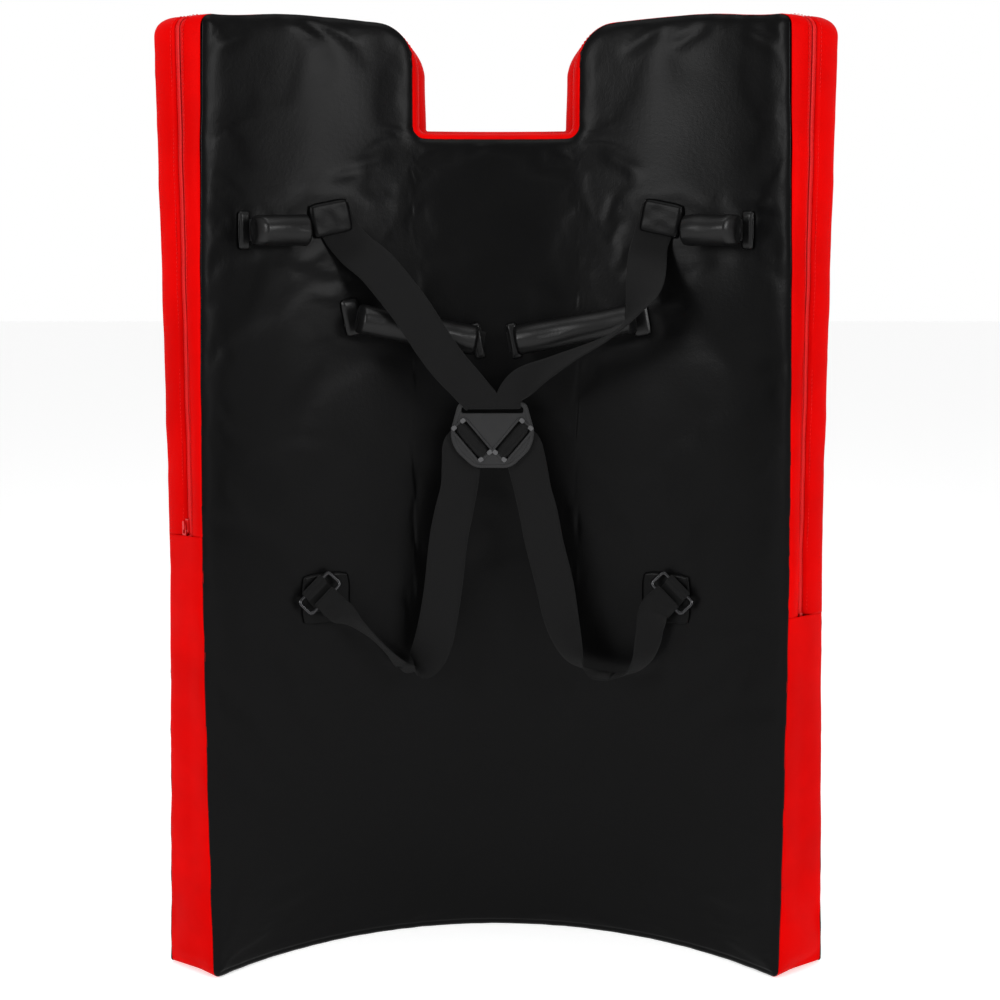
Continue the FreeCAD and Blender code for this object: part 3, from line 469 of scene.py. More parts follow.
def panel_grid(share):
    """The flat pattern of a cover panel as quads: arrays of s and z, and the faces."""
    s, z, _, _ = outline(share)
    notch_s = as_s(NOTCH)
    join = NOTCH_FLOOR + NOTCH_CORNER
    half = slice(MIDDLE, COUNT)
    half_s, half_z = s[half], z[half]
    wall_foot = FLOOR_STEPS + CORNER_STEPS
    wall_top = wall_foot + WALL_STEPS
    floor_s, floor_z = half_s[:wall_foot + 1], half_z[:wall_foot + 1]
    wing_s, wing_z = half_s[wall_top:1 - SIDE_STEPS], half_z[wall_top:1 - SIDE_STEPS]
    wing = closing_up(notch_s, SIDE_S, 62)
    mid = closing_up(-notch_s, notch_s, 46)
    columns = np.concatenate([-wing[:0:-1], mid, wing[1:]])
    rows = closing_up(0, 1, 200)
    top = np.where(np.abs(columns) < notch_s - 1e-9, np.interp(np.abs(columns), floor_s, floor_z), join)
    grid_s = [np.broadcast_to(columns, (len(rows), len(columns)))]
    grid_z = [rows[:, None] * top[None, :]]
    faces = []

    def quads(first, rows_count, columns_count):
        for i in range(rows_count - 1):
            for j in range(columns_count - 1):
                a = first + i * columns_count + j
                faces.append((a, a + 1, a + columns_count + 1, a + columns_count))

    quads(0, len(rows), len(columns))
    total = len(rows) * len(columns)
    upper = closing_up(0, 1, 34)
    for wing_columns in (-wing[::-1], wing):
        wing_top = np.interp(np.abs(wing_columns), wing_s, wing_z)
        grid_s.append(np.broadcast_to(wing_columns, (len(upper), len(wing_columns))))
        grid_z.append(join + upper[:, None] * (wing_top - join)[None, :])
        quads(total, len(upper), len(wing_columns))
        total += len(upper) * len(wing_columns)
    return (np.concatenate([part.ravel() for part in grid_s]),
            np.concatenate([part.ravel() for part in grid_z]), faces)


# Where something is sewn to the rear panel: (sideways place, height, half width, half height).
SEWN = [(side * x, z, w, h) for side in (-1, 1) for x, z, w, h in (
    (0.235, 0.721, 0.008, 0.018), (0.184, 0.721, 0.008, 0.018), (0.160, 0.733, 0.018, 0.015),
    (0.141, 0.638, 0.008, 0.018), (0.018, 0.6135, 0.008, 0.018), (0.169, 0.361, 0.025, 0.025))]


def near_sewn(s, z, reach):
    """1 at each sewn-on part, fading out over reach."""
    total = np.zeros(s.shape)
    for x, height, wide, tall in SEWN:
        gap = np.hypot(np.maximum(np.abs(s - as_s(x)) - wide, 0), np.maximum(np.abs(z - height) - tall, 0))
        total = np.maximum(total, np.exp(-(gap / reach) ** 2))
    return total


# Start, end, height in millimetres and width of each fold: by the inner grips, under the notch, in the
# corners, and fanning out from where something is sewn on.
REAR_CREASES = (
    ((-0.150, 0.672), (-0.188, 0.692), 1.5, 0.004), ((-0.134, 0.668), (-0.172, 0.680), -1.3, 0.004),
    ((-0.152, 0.655), (-0.192, 0.664), 1.3, 0.0035), ((-0.168, 0.706), (-0.200, 0.684), 1.2, 0.004),
    ((0.128, 0.668), (0.150, 0.700), 1.5, 0.004), ((0.140, 0.656), (0.182, 0.676), -1.3, 0.0045),
    ((0.148, 0.648), (0.190, 0.656), 1.3, 0.0035), ((0.120, 0.680), (0.128, 0.712), 1.2, 0.004),
    ((0.112, 0.706), (0.128, 0.738), -1.2, 0.004), ((0.106, 0.722), (0.118, 0.760), 1.1, 0.0035),
    ((-0.022, 0.793), (-0.013, 0.807), 1.8, 0.0024), ((-0.009, 0.797), (-0.004, 0.808), 0.9, 0.0024),
    ((-0.296, 0.880), (-0.245, 0.905), 1.2, 0.006), ((-0.205, 0.916), (-0.172, 0.896), 1.5, 0.0035),
    ((-0.192, 0.918), (-0.160, 0.902), -1.4, 0.004), ((-0.165, 0.914), (-0.128, 0.893), 1.2, 0.005),
    ((0.296, 0.880), (0.245, 0.905), 1.2, 0.006), ((0.214, 0.912), (0.170, 0.890), -1.4, 0.006),
    ((0.164, 0.914), (0.118, 0.886), 1.2, 0.006), ((-0.100, 0.800), (-0.145, 0.775), -1.3, 0.008),
    ((-0.112, 0.786), (-0.168, 0.768), 1.0, 0.005), ((0.100, 0.800), (0.150, 0.772), -1.3, 0.008),
    ((-0.262, 0.745), (-0.250, 0.705), 1.2, 0.004), ((0.262, 0.745), (0.250, 0.705), 1.2, 0.004),
    ((-0.222, 0.696), (-0.192, 0.676), -1.2, 0.006), ((0.222, 0.696), (0.192, 0.676), -1.2, 0.006),
    ((0.285, 0.748), (0.262, 0.742), 1.0, 0.003), ((0.287, 0.738), (0.260, 0.730), -1.0, 0.003),
    ((-0.286, 0.610), (-0.268, 0.598), 1.0, 0.003), ((-0.287, 0.560), (-0.270, 0.546), 1.0, 0.003),
    ((-0.284, 0.535), (-0.262, 0.527), -0.9, 0.003), ((0.285, 0.500), (0.266, 0.493), 0.9, 0.003),
)


def rear_lift(s, z):
    """How far the rear panel stands out of its plain bent face."""
    gap = edge_distance(s, z)
    lift = -SEAM_SINK * np.exp(-gap / 0.0046)
    lift = lift + 0.35 * MM * edge_puckers(s, z, gap, 3)
    free = smooth(gap / 0.03) * (1 - near_sewn(s, z, 0.03))
    lift = lift + free * (0.7 * MM * waves(s, z, 5, 12, 10, 30) + 0.2 * MM * waves(s, z, 8, 12, 70, 160, 2.0))
    for start, end, depth, width in REAR_CREASES:
        lift = lift + depth * MM * crease(s, z, start, end, width)
    lift = lift - 0.5 * MM * near_sewn(s, z, 0.006)
    hem = np.exp(-((z - 0.0052) / 0.0011) ** 2) * smooth((SIDE_S - np.abs(s)) / 0.01)
    return lift - 1.3 * MM * hem


def front_lift(s, z):
    """How far the striking face stands out of its plain bent face."""
    gap = edge_distance(s, z)
    lift = -SEAM_SINK * np.exp(-gap / 0.0075) + 0.4 * MM * edge_puckers(s, z, gap, 13)
    free = smooth(gap / 0.04)
    return lift + free * (1.1 * MM * waves(s, z, 15, 12, 10, 35) + 0.25 * MM * waves(s, z, 18, 12, 60, 140))


def relax(obj, held, gap):
    """Lets the sheet's cloth settle between its held points, then eases each move so that it stays
    under CLOTH_CAP. Away from the seams, held points are those under sewn-on parts."""
    before = np.empty(len(obj.data.vertices) * 3)
    obj.data.vertices.foreach_get("co", before)
    group = obj.vertex_groups.new(name="held")
    group.add([int(i) for i in np.nonzero(held)[0]], 1.0, "REPLACE")
    cloth = obj.modifiers.new("cloth", "CLOTH")
    settings = cloth.settings
    settings.quality = 4
    settings.mass = 0.3
    settings.tension_stiffness = 20
    settings.compression_stiffness = 12
    settings.shear_stiffness = 8
    settings.bending_stiffness = 0.6
    settings.vertex_group_mass = "held"
    settings.shrink_min = -0.006
    settings.use_pressure = True
    settings.uniform_pressure_force = CLOTH_PRESSURE
    settings.effector_weights.gravity = 0
    cloth.point_cache.frame_end = CLOTH_STEPS
    for step in range(1, CLOTH_STEPS + 1):
        bpy.context.scene.frame_set(step)
    apply_modifiers(obj)
    after = np.empty_like(before)
    obj.data.vertices.foreach_get("co", after)
    move = (after - before).reshape(-1, 3)
    length = np.linalg.norm(move, axis=1)
    move *= (CLOTH_CAP * smooth(gap / 0.02) / (CLOTH_CAP + length))[:, None]
    obj.data.vertices.foreach_set("co", (before.reshape(-1, 3) + move).ravel())
    obj.data.update()
    obj.vertex_groups.clear()
    bpy.context.scene.frame_set(1)


def cover_panel(name, share, lift_of, flip, held_of):
    """A black panel of the cover: laid out on its pattern, bent, then relaxed as cloth."""
    s, z, faces = panel_grid(share)
    points = on_pad(s, z, share, lift_of(s, z))
    mesh = bpy.data.meshes.new(name)
    mesh.from_pydata(points.tolist(), [], [face[::-1] for face in faces] if flip else faces)
    gap = edge_distance(s, z)
    kept = mesh.attributes.new("gap", "FLOAT", "POINT")
    kept.data.foreach_set("value", gap.astype(np.float32))
    under = mesh.attributes.new("under", "FLOAT", "POINT")
    under.data.foreach_set("value", held_of(s, z).astype(np.float32))
    weld = bmesh.new()
    weld.from_mesh(mesh)
    bmesh.ops.remove_doubles(weld, verts=weld.verts, dist=1e-5)
    weld.to_mesh(mesh)
    weld.free()
    mesh.update()
    obj = new_object(name, mesh, BLACK_COVER)
    gap, under = np.empty(len(mesh.vertices)), np.empty(len(mesh.vertices))
    mesh.attributes["gap"].data.foreach_get("value", gap)
    mesh.attributes["under"].data.foreach_get("value", under)
    relax(obj, (gap < 0.001) | (under > 0.9), np.minimum(gap, (1 - under) * 0.02))
    for attribute in ("gap", "under"):
        obj.data.attributes.remove(obj.data.attributes[attribute])
    return thicken(obj, COVER)


def build_panels():
    """The two black panels of the cover."""
    rear = cover_panel("rear_cover", 0.0, rear_lift, False, lambda s, z: near_sewn(s, z, 0.012))
    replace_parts(rear, "rear_panel", "rear_foam_sheet")
    front = cover_panel("front_cover", 1.0, front_lift, True, lambda s, z: 0 * s)
    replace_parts(front, "front_panel", "striking_foam_sheet", "core_foam_block")
    for obj in (rear, front):
        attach(obj, "root")


# ---------------------------------------------------------------- gussets and zip

def path_index(side, height):
    """Where the outline passes a height on the left (-1) or right (1) side."""
    rows = np.arange(0, 440) if side < 0 else np.arange(COUNT - 440, COUNT)
    return int(rows[np.argmin(np.abs(EDGE_Z[rows] - height))])


ZIP_START = path_index(-1, ZIP_END_LEFT)
ZIP_STOP = path_index(1, ZIP_END_RIGHT)


def gusset_ripples(s, z, share, seed):
    """Unevenness of the red band: drag lines across it, and gathers at its two seams."""
    girth = share * PAD_DEPTH
    seams = np.minimum(share, 1 - share) * PAD_DEPTH
    slanted = waves(girth + 0.4 * z, z, seed, 8, 40, 120)
    gathers = waves(girth * 0.3, z + s, seed + 1, 10, 160, 380) * np.exp(-seams / 0.006)
    low_down = 1 + 2.4 * smooth((0.13 - z) / 0.08)
    return 0.5 * MM * slanted * low_down * smooth(seams / 0.012) + 0.3 * MM * gathers


def gusset_strip(name, start, stop, low, high, near, far, seed, fold=None):
    """A red strip along the outline between two depth shares. fold lists extra rows, as (share, out),
    that turn its zip edge in under itself."""
    rows = []
    shares = closing_up(low, high, 20, 0.6)
    for share in shares:
        s, z, out_s, out_z = (values[start:stop] for values in outline(share))
        out = bulge(s, z, share, low, high, near, far)
        out = out + gusset_ripples(s, z, share, seed) * smooth(out / (1.5 * MM))
        if fold:
            edge = min(abs(share - fold[0][0]) / 0.05, 1)
            out = out - (1 - edge) * 0.6 * MM
        rows.append(on_pad(s + out_s * out, np.maximum(z + out_z * out, 0.0), share))
    for share, out in fold or ():
        row = along_outline(start, stop, share, out)
        rows = rows + [row] if fold[0][0] > (low + high) / 2 else [row] + rows
    obj = grid_object(name, np.stack(rows), RED_COVER)
    return thicken(obj, COVER)


def stitches(name, points, outward, length, gap, radius, material):
    """A row of sewn stitches along a line: short rounded threads that dip in at both ends."""
    steps = np.linalg.norm(np.diff(points, axis=0), axis=1)
    place = np.concatenate([[0], np.cumsum(steps)])
    count = int(place[-1] / (length + gap))
    parts, faces = [], []
    for number in range(count):
        start = number * (length + gap)
        spots = start + np.linspace(0, 1, 5) * length
        line = np.stack([np.interp(spots, place, points[:, k]) for k in range(3)], 1)
        out = np.array([np.interp(start, place, outward[:, k]) for k in range(3)])
        run = line[-1] - line[0]
        run = run / max(np.linalg.norm(run), 1e-9)
        across = np.cross(run, out)
        for k, (rise, size) in enumerate(((-0.7, 0.35), (0.35, 0.9), (0.6, 1), (0.35, 0.9), (-0.7, 0.35))):
            for turn in range(6):
                angle = turn * math.pi / 3
                ring = across * math.cos(angle) + out * math.sin(angle)
                parts.append(line[k] + out * rise * radius + ring * radius * size)
        first = number * 30
        for k in range(4):
            for turn in range(6):
                a, b = first + k * 6 + turn, first + k * 6 + (turn + 1) % 6
                faces.append((a, b, b + 6, a + 6))
        faces.append(tuple(first + turn for turn in range(5, -1, -1)))
        faces.append(tuple(first + 24 + turn for turn in range(6)))
    mesh = bpy.data.meshes.new(name)
    mesh.from_pydata([tuple(p) for p in parts], [], faces)
    give_uv(mesh, lambda corners: np.stack([corners // 6 * 0.0008, corners % 6 * 0.0003], 1))
    return new_object(name, mesh, material)


def outline_normals(start, stop, share):
    """The outward direction at each point of part of the outline."""
    here = along_outline(start, stop, share, 0.0)
    there = along_outline(start, stop, share, 1 * MM)
    out = there - here
    return out / np.maximum(np.linalg.norm(out, axis=1), 1e-9)[:, None]


def build_zip():
    """Two tapes, the coil between them and the two end stops."""
    for name, low, high in (("zip_tape_rear", ZIP_SHARE - ZIP_HALF - 0.03, ZIP_SHARE - 0.024),
                            ("zip_tape_front", ZIP_SHARE + 0.024, ZIP_SHARE + ZIP_HALF + 0.03)):
        shares = np.linspace(low, high, 4)
        rows = np.stack([along_outline(ZIP_START, ZIP_STOP, share, -1.2 * MM) for share in shares])
        run = np.arange(rows.shape[1]) * 2 * MM
        uv = np.stack(np.broadcast_arrays(run[None, :], (shares * PAD_DEPTH)[:, None]), -1)
        tape = thicken(grid_object(name + "_cloth", rows, ZIP_CLOTH, uv=uv), 0.8 * MM)
        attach(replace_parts(tape, name), "root")

    fine = 4
    centre = along_outline(ZIP_START, ZIP_STOP, ZIP_SHARE, -1.0 * MM)
    out = outline_normals(ZIP_START, ZIP_STOP, ZIP_SHARE)
    many = np.arange((len(centre) - 1) * fine + 1) / fine
    whole = np.arange(len(centre))
    line = np.stack([np.interp(many, whole, centre[:, k]) for k in range(3)], 1)
    out = np.stack([np.interp(many, whole, out[:, k]) for k in range(3)], 1)
    run = np.gradient(line, axis=0)
    run /= np.linalg.norm(run, axis=1)[:, None]
    across = np.cross(run, out)
    swell = 1 + 0.22 * np.cos(np.arange(len(line)) * math.pi)
    rings = []
    for turn in range(10):
        angle = turn * 2 * math.pi / 10
        wide = 1.9 * MM * math.cos(angle) * swell
        tall = 1.0 * MM * math.sin(angle) * swell
        rings.append(line + across * wide[:, None] + out * tall[:, None])
    coil = grid_object("zip_coil_teeth", np.stack(rings, 1), COIL, closed_columns=True)
    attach(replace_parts(coil, "zip_coil"), "root")

    stops = []
    for start in (path_index(-1, ZIP_END_LEFT + 0.004) - 4, path_index(1, ZIP_END_RIGHT + 0.004)):
        line = along_outline(start, start + 3, ZIP_SHARE, 0.1 * MM)
        across = np.cross(line[-1] - line[0], outline_normals(start, start + 3, ZIP_SHARE)[1])
        stations = [(point, across) for point in line]
        stops.append(ribbon("zip_stop", stations, 5.4 * MM, 1.8 * MM, RED_METAL, 4))
    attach(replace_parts(joined("zip_stops", stops), "zip_end_stops"), "root")


def build_gussets():
    """The red strips round the pad, its base strip, and the stitch rows beside the zip."""
    sink, rim = SEAM_SHARE, 1 - SEAM_SHARE
    rear_edge, front_edge = ZIP_SHARE - ZIP_HALF, ZIP_SHARE + ZIP_HALF
    rear = gusset_strip("upper_gusset_rear_strip", ZIP_START, ZIP_STOP, sink, rear_edge, 2.4 * MM, 2.4 * MM,
                        21, fold=[(rear_edge + 0.004, -0.7 * MM)])
    front = gusset_strip("upper_gusset_front_strip", ZIP_START, ZIP_STOP, front_edge, rim, 2.6 * MM, 3.2 * MM,
                         31, fold=[(front_edge - 0.004, -0.7 * MM)])
    left = gusset_strip("lower_gusset_left_strip", 0, ZIP_START + 1, sink, rim, 3.6 * MM, 3.6 * MM, 41)
    right = gusset_strip("lower_gusset_right_strip", ZIP_STOP - 1, COUNT, sink, rim, 3.6 * MM, 3.6 * MM, 51)
    for obj, cad in ((rear, "upper_gusset_rear"), (front, "upper_gusset_front"),
                     (left, "lower_gusset_left"), (right, "lower_gusset_right")):
        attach(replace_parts(obj, cad), "root")

    s = closing_up(-SIDE_S, SIDE_S, 140)
    rows = []
    for share in closing_up(sink, rim, 16, 0.6):
        place = (share - sink) / (rim - sink)
        lift = 2.2 * MM * (1 - math.sqrt(max(math.sin(place * math.pi), 0)))
        rows.append(on_pad(s, lift + 0 * s, share))
    base = thicken(grid_object("bottom_gusset_strip", np.stack(rows), RED_COVER, flip=True), COVER)
    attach(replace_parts(base, "bottom_gusset"), "root")

    for name, share in (("zip_stitching_rear", rear_edge - 0.045),
                        ("zip_stitching_front", front_edge + 0.045)):
        low, high = (sink, rear_edge) if share < 0.5 else (front_edge, rim)
        s, z, out_s, out_z = (values[ZIP_START:ZIP_STOP] for values in outline(share))
        out = bulge(s, z, share, low, high, 2.4 * MM, 3.0 * MM)
        line = on_pad(s + out_s * out, z + out_z * out, share)
        sewn = stitches(name, line, outline_normals(ZIP_START, ZIP_STOP, share), 3 * MM, 1 * MM, 0.35 * MM,
                        RED_THREAD)
        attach(sewn, "root")


# ---------------------------------------------------------------- straps and sewn parts

def rear_point(across, height, off=0.0):
    """A point in front of the rear face, as in the CAD model: across along X, off towards the holder."""
    radius = REAR_RADIUS - off
    return np.array([across, AXIS_Y + math.sqrt(radius ** 2 - across ** 2), height])


def rear_normal(across):
    """The direction from the rear face towards the holder."""
    angle = math.asin(across / REAR_RADIUS)
    return np.array([-math.sin(angle), -math.cos(angle), 0])


def unit(vector):
    """The vector at length 1."""
    vector = np.asarray(vector, float)
    return vector / max(np.linalg.norm(vector), 1e-12)


def through(values, count):
    """A smooth run through rows of values (Catmull-Rom), with count steps to each stretch."""
    values = np.asarray(values, float)
    padded = np.concatenate([[2 * values[0] - values[1]], values, [2 * values[-1] - values[-2]]])
    out = []
    for i in range(1, len(padded) - 2):
        for t in np.arange(count) / count:
            a, b, c, d = padded[i - 1:i + 3]
            out.append(0.5 * (2 * b + (c - a) * t + (2 * a - 5 * b + 4 * c - d) * t ** 2
                              + (3 * b - a - 3 * c + d) * t ** 3))
    out.append(values[-1])
    return np.array(out)


def ribbon(name, stations, width, thickness, material, steps=6, ripple=0.0, seed=1, widths_at=None):
    """A strap through stations of (point, direction of its width), with rounded edges. widths_at
    gives each station's width where the strap is bunched up."""
    points = through([point for point, across in stations], steps)
    widths = through([unit(across) for point, across in stations], steps)
    run = np.gradient(points, axis=0)
    run /= np.linalg.norm(run, axis=1)[:, None]
    across = widths - run * (widths * run).sum(1)[:, None]
    across /= np.linalg.norm(across, axis=1)[:, None]
    face = np.cross(run, across)
    length = np.concatenate([[0], np.cumsum(np.linalg.norm(np.diff(points, axis=0), axis=1))])
    half, edge = width / 2, thickness / 2
    if widths_at is not None:
        half = through(np.array(widths_at)[:, None], steps)[:, 0] / 2
    profile = [(k, 1) for k in np.linspace(-1, 1, 11)] + [(1, 0)] + \
              [(k, -1) for k in np.linspace(1, -1, 11)] + [(-1, 0)]
    rows, uv = [], []
    for k, side in profile:
        place = k * (half - edge * 0.7 * abs(side)) if abs(k) == 1 else k * half * 0.96
        wave = ripple * waves(length, np.full_like(length, k * width / 2), seed, 6, 40, 130)
        off = edge * side * (0.6 if abs(k) == 1 else 1) + wave
        rows.append(points + across * np.broadcast_to(place, length.shape)[:, None] + face * off[:, None])
        uv.append(np.stack([length, np.full_like(length, k * width / 2)], 1))
    body = grid_object(name, np.stack(rows, 1), material, closed_columns=True, uv=np.stack(uv, 1))
    close_ends(body)
    for polygon in body.data.polygons:
        polygon.use_smooth = True
    return body


def rear_stations(rows):
    """Rows of (across, height, off, width direction) in millimetres as strap stations. The width
    direction is given along the rear face, away from it and upwards."""
    stations = []
    for across, height, off, (sideways, away, upwards) in rows:
        out = rear_normal(across * MM)
        width = np.cross([0, 0, 1], out) * sideways + out * away + np.array([0, 0, upwards])
        stations.append((rear_point(across * MM, height * MM, off * MM), width))
    return stations


def face_frame(across, height, tilt=0.0):
    """On the rear face: (place, direction sideways, direction upwards, direction to the holder)."""
    out = rear_normal(across)
    side = np.cross([0, 0, 1], out)
    up = np.array([0.0, 0.0, 1.0])
    turned = side * math.cos(tilt) + up * math.sin(tilt)
    return rear_point(across, height), turned, np.cross(out, turned), out


def sewn_patch(name, across, height, width, tall, lift, material, tilt=0.0, puff=0.5 * MM, seed=1,
               drape=4 * MM):
    """A sewn-on patch that follows the rear face, with rounded corners and turned-in edges, and its
    border of stitches."""
    sheet, edge_lift, seam_inset = 1.0 * MM, 0.9 * MM, 2.0 * MM
    middle, side, up, out = face_frame(across, height, tilt)

    def sag(u):
        return (u ** 2) / (2 * REAR_RADIUS) * math.cos(tilt) ** 2

    k = np.linspace(-1, 1, 19)
    u, v = np.meshgrid(k, k)
    corner = 0.10
    pull = 1 - corner * np.clip(np.abs(u * v) - 0.55, 0, 1) / 0.45 * 0.8
    flat_u, flat_v = u * width / 2 * pull, v * tall / 2 * pull
    rim = np.minimum(1 - np.abs(u), 1 - np.abs(v))
    inset = np.minimum((1 - np.abs(u)) * width / 2, (1 - np.abs(v)) * tall / 2)
    rise = edge_lift + (lift + puff * smooth(rim / 0.4) - edge_lift) * smooth(inset / drape)
    rise = rise + 0.2 * MM * waves(flat_u, flat_v, seed, 8, 150, 500)
    high = rise + sag(flat_u)
    points = middle + side * flat_u[..., None] + up * flat_v[..., None] + out * high[..., None]
    patch = thicken(grid_object(name + "_sheet", points, material, flip=True), sheet)
    loop = []
    for a, b in (((-1, -1), (1, -1)), ((1, -1), (1, 1)), ((1, 1), (-1, 1)), ((-1, 1), (-1, -1))):
        for t in np.linspace(0, 1, 8, endpoint=False):
            loop.append((a[0] + (b[0] - a[0]) * t, a[1] + (b[1] - a[1]) * t))
    loop = np.array(loop + loop[:1])
    flat_u, flat_v = loop[:, 0] * (width / 2 - seam_inset), loop[:, 1] * (tall / 2 - seam_inset)
    high = edge_lift + (lift - edge_lift) * smooth(seam_inset / drape) + sag(flat_u)
    line = middle + side * flat_u[:, None] + up * flat_v[:, None] + out * high[:, None]
    thread = stitches(name + "_thread", line, np.broadcast_to(out, line.shape), 2.6 * MM, 0.9 * MM, 0.33 * MM,
                      THREAD)
    return joined(name, [patch, thread])


GRIPS = {
    "upper": (235 * MM, 721 * MM, 184.5 * MM, 721 * MM),
    "inner": (141 * MM, 638 * MM, 18 * MM, 613.5 * MM),
}
TAB_SIZES = {("upper", "outer"): (12 * MM, 35 * MM), ("upper", "inner"): (12 * MM, 25 * MM),
             ("inner", "outer"): (17 * MM, 36 * MM), ("inner", "inner"): (10 * MM, 35 * MM)}
GRIP_RADIUS = 14.5 * MM
GRIP_STANDOFF = 24 * MM
GRIP_TAB = 12 * MM
GRIP_RISE = 3 * MM


def build_grip(row, side):
    """A padded grip: coated sleeve over foam, the webbing in it, and its two sewn tabs."""
    outer_x, outer_z, inner_x, inner_z = GRIPS[row]
    name = "%s_%s_grip" % (row, "right" if side > 0 else "left")
    outer, inner = rear_point(side * outer_x, outer_z), rear_point(side * inner_x, inner_z)
    middle = (outer + inner) / 2
    along = unit(outer - inner)
    half = np.linalg.norm(outer - inner) / 2
    out = rear_normal(middle[0])
    up = unit(np.cross(out, along))
    out = np.cross(along, up)
    if out @ rear_normal(middle[0]) < 0:
        out, up = -out, -up
    knee = GRIP_TAB / 2 - 1.5 * MM
    bend = half - knee - GRIP_RISE
    roll = bend + 1.5 * MM
    outer_roll = roll + (5.5 * MM if row == "upper" else 3 * MM)

    u = np.concatenate([[-roll + 1.2 * MM, -roll + 0.4 * MM], np.linspace(-roll, -roll + 6 * MM, 14),
                        np.linspace(-roll + 7 * MM, roll - 7 * MM, 26), np.linspace(roll - 6 * MM, roll, 14),
                        [roll - 0.4 * MM, roll - 1.2 * MM]])
    stretch = np.where(u > 0, outer_roll / roll, 1.0)
    end = np.clip((roll - np.abs(u)) / (6 * MM), 0, 1)
    full = np.sqrt(1 - (1 - end) ** 2)
    radius = GRIP_RADIUS * (0.84 + 0.16 * full)
    radius[[0, -1]] = 4 * MM
    radius[[1, -2]] = 8 * MM
    flat = (0.45 + 0.55 * full)[:, None]
    turns = np.linspace(0, 2 * math.pi, 48, endpoint=False)
    angle, place = np.meshgrid(turns, u)
    spread = np.meshgrid(turns, u * stretch)[1]
    seed = 60 + len(row) * 3 + side + (7 if row == "inner" else 0)
    gathers = np.sin(angle * 11 + seed) * np.exp(-(roll - np.abs(place)) / (5 * MM))
    uneven = 0.35 * MM * gathers + 0.45 * MM * waves(place * 1.5, angle * 0.02, seed, 8, 40, 160)
    seam = 0.9 * MM * np.exp(-((np.abs(angle - 1.5 * math.pi)) / 0.05) ** 2)
    reach = radius[:, None] + np.where(radius[:, None] > 9 * MM, uneven - seam, 0)
    droop = 0.9 * MM * (1 - (place / roll) ** 2) - 5 * MM * (1 - end[:, None]) ** 2
    bulk = middle + along * spread[..., None] + out * (GRIP_STANDOFF + droop)[..., None]
    points = bulk + up * (reach * np.sin(angle))[..., None] + out * (reach * flat * np.cos(angle))[..., None]
    sleeve = grid_object(name + "_roll", points, BLACK_GRIP, closed_columns=True)
    close_ends(sleeve)
    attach(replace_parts(sleeve, name + "_sleeve", name + "_foam"), name)

    slope = math.tan((math.asin(outer_x / REAR_RADIUS) - math.asin(inner_x / REAR_RADIUS)) / 2)
    route = [(-half - GRIP_TAB / 2, 1.7 * MM + GRIP_TAB / 2 * slope), (-half, 1.7 * MM),
             (-half + knee, 1.9 * MM), (-bend - 1 * MM, GRIP_STANDOFF * 0.55),
             (-bend + 2 * MM, GRIP_STANDOFF - 2 * MM), (-bend + 8 * MM, GRIP_STANDOFF)]
    route = route + [(-a, b) for a, b in route[::-1]]
    stations = [(middle + along * a + out * b, up) for a, b in route]
    strap = ribbon(name + "_webbing", stations, 20 * MM, WEBBING_SHEET, WEBBING, 5)
    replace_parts(strap, name + "_strap")
    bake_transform(strap)

    tilt = math.atan2(along[2] * side, math.hypot(along[0], along[1]))
    tabs = []
    for label, x, z in (("outer", outer_x, outer_z), ("inner", inner_x, inner_z)):
        wide, tall = TAB_SIZES[row, label]
        tabs.append(sewn_patch(name + "_tab_" + label, side * x, z, wide, tall, 2.9 * MM, BLACK_GRIP,
                               tilt * side, puff=0.2 * MM, seed=seed, drape=3 * MM))
    tabs = joined(name + "_sewn_tabs", tabs)
    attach(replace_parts(tabs, name + "_tabs"), "root")


# ---------------------------------------------------------------- yoke plate

YOKE = np.array([-3.5, 0, 524]) * MM
YOKE_OFF = 46
YOKE_Y = rear_point(0, 0, YOKE_OFF * MM)[1]
GLIDE_TILT = math.radians(50)


def rounded_outline(corners, radius, steps=5):
    """A closed outline with round corners, from corner points in order."""
    out = []
    for index, corner in enumerate(corners):
        corner = np.array(corner, float)
        before = np.array(corners[index - 1], float)
        after = np.array(corners[(index + 1) % len(corners)], float)
        cut = min(radius, np.linalg.norm(before - corner) / 2.1, np.linalg.norm(after - corner) / 2.1)
        start, end = corner + unit(before - corner) * cut, corner + unit(after - corner) * cut
        for t in np.linspace(0, 1, steps):
            out.append((1 - t) ** 2 * start + 2 * t * (1 - t) * corner + t * t * end)
    return np.array(out)


def flat_plate(name, outlines, half_depth, bevel, material, y):
    """A plate in the XZ plane with holes: the first outline is its edge, the others are its holes."""
    curve = bpy.data.curves.new(name, "CURVE")
    curve.dimensions = "2D"
    curve.fill_mode = "BOTH"
    curve.extrude = half_depth - bevel
    curve.bevel_depth = bevel
    curve.bevel_resolution = 3
    curve.offset = -bevel
    for points in outlines:
        spline = curve.splines.new("POLY")
        spline.points.add(len(points) - 1)
        for target, (x, z) in zip(spline.points, points):
            target.co = (x, z, 0, 1)
        spline.use_cyclic_u = True
    holder = bpy.data.objects.new(name, curve)
    bpy.context.scene.collection.objects.link(holder)
    holder.matrix_world = Matrix.Translation((0, y, 0)) @ Matrix.Rotation(math.pi / 2, 4, "X")
    bpy.context.view_layer.update()
    mesh = bpy.data.meshes.new_from_object(holder.evaluated_get(bpy.context.evaluated_depsgraph_get()))
    mesh.transform(holder.matrix_world)
    bpy.data.objects.remove(holder)
    return new_object(name, mesh, material)


def rectangle(middle, along, away, length, width):
    """The four corners of a tilted rectangle."""
    return [middle + along * a * length / 2 + away * b * width / 2
            for a, b in ((-1, -1), (1, -1), (1, 1), (-1, 1))]


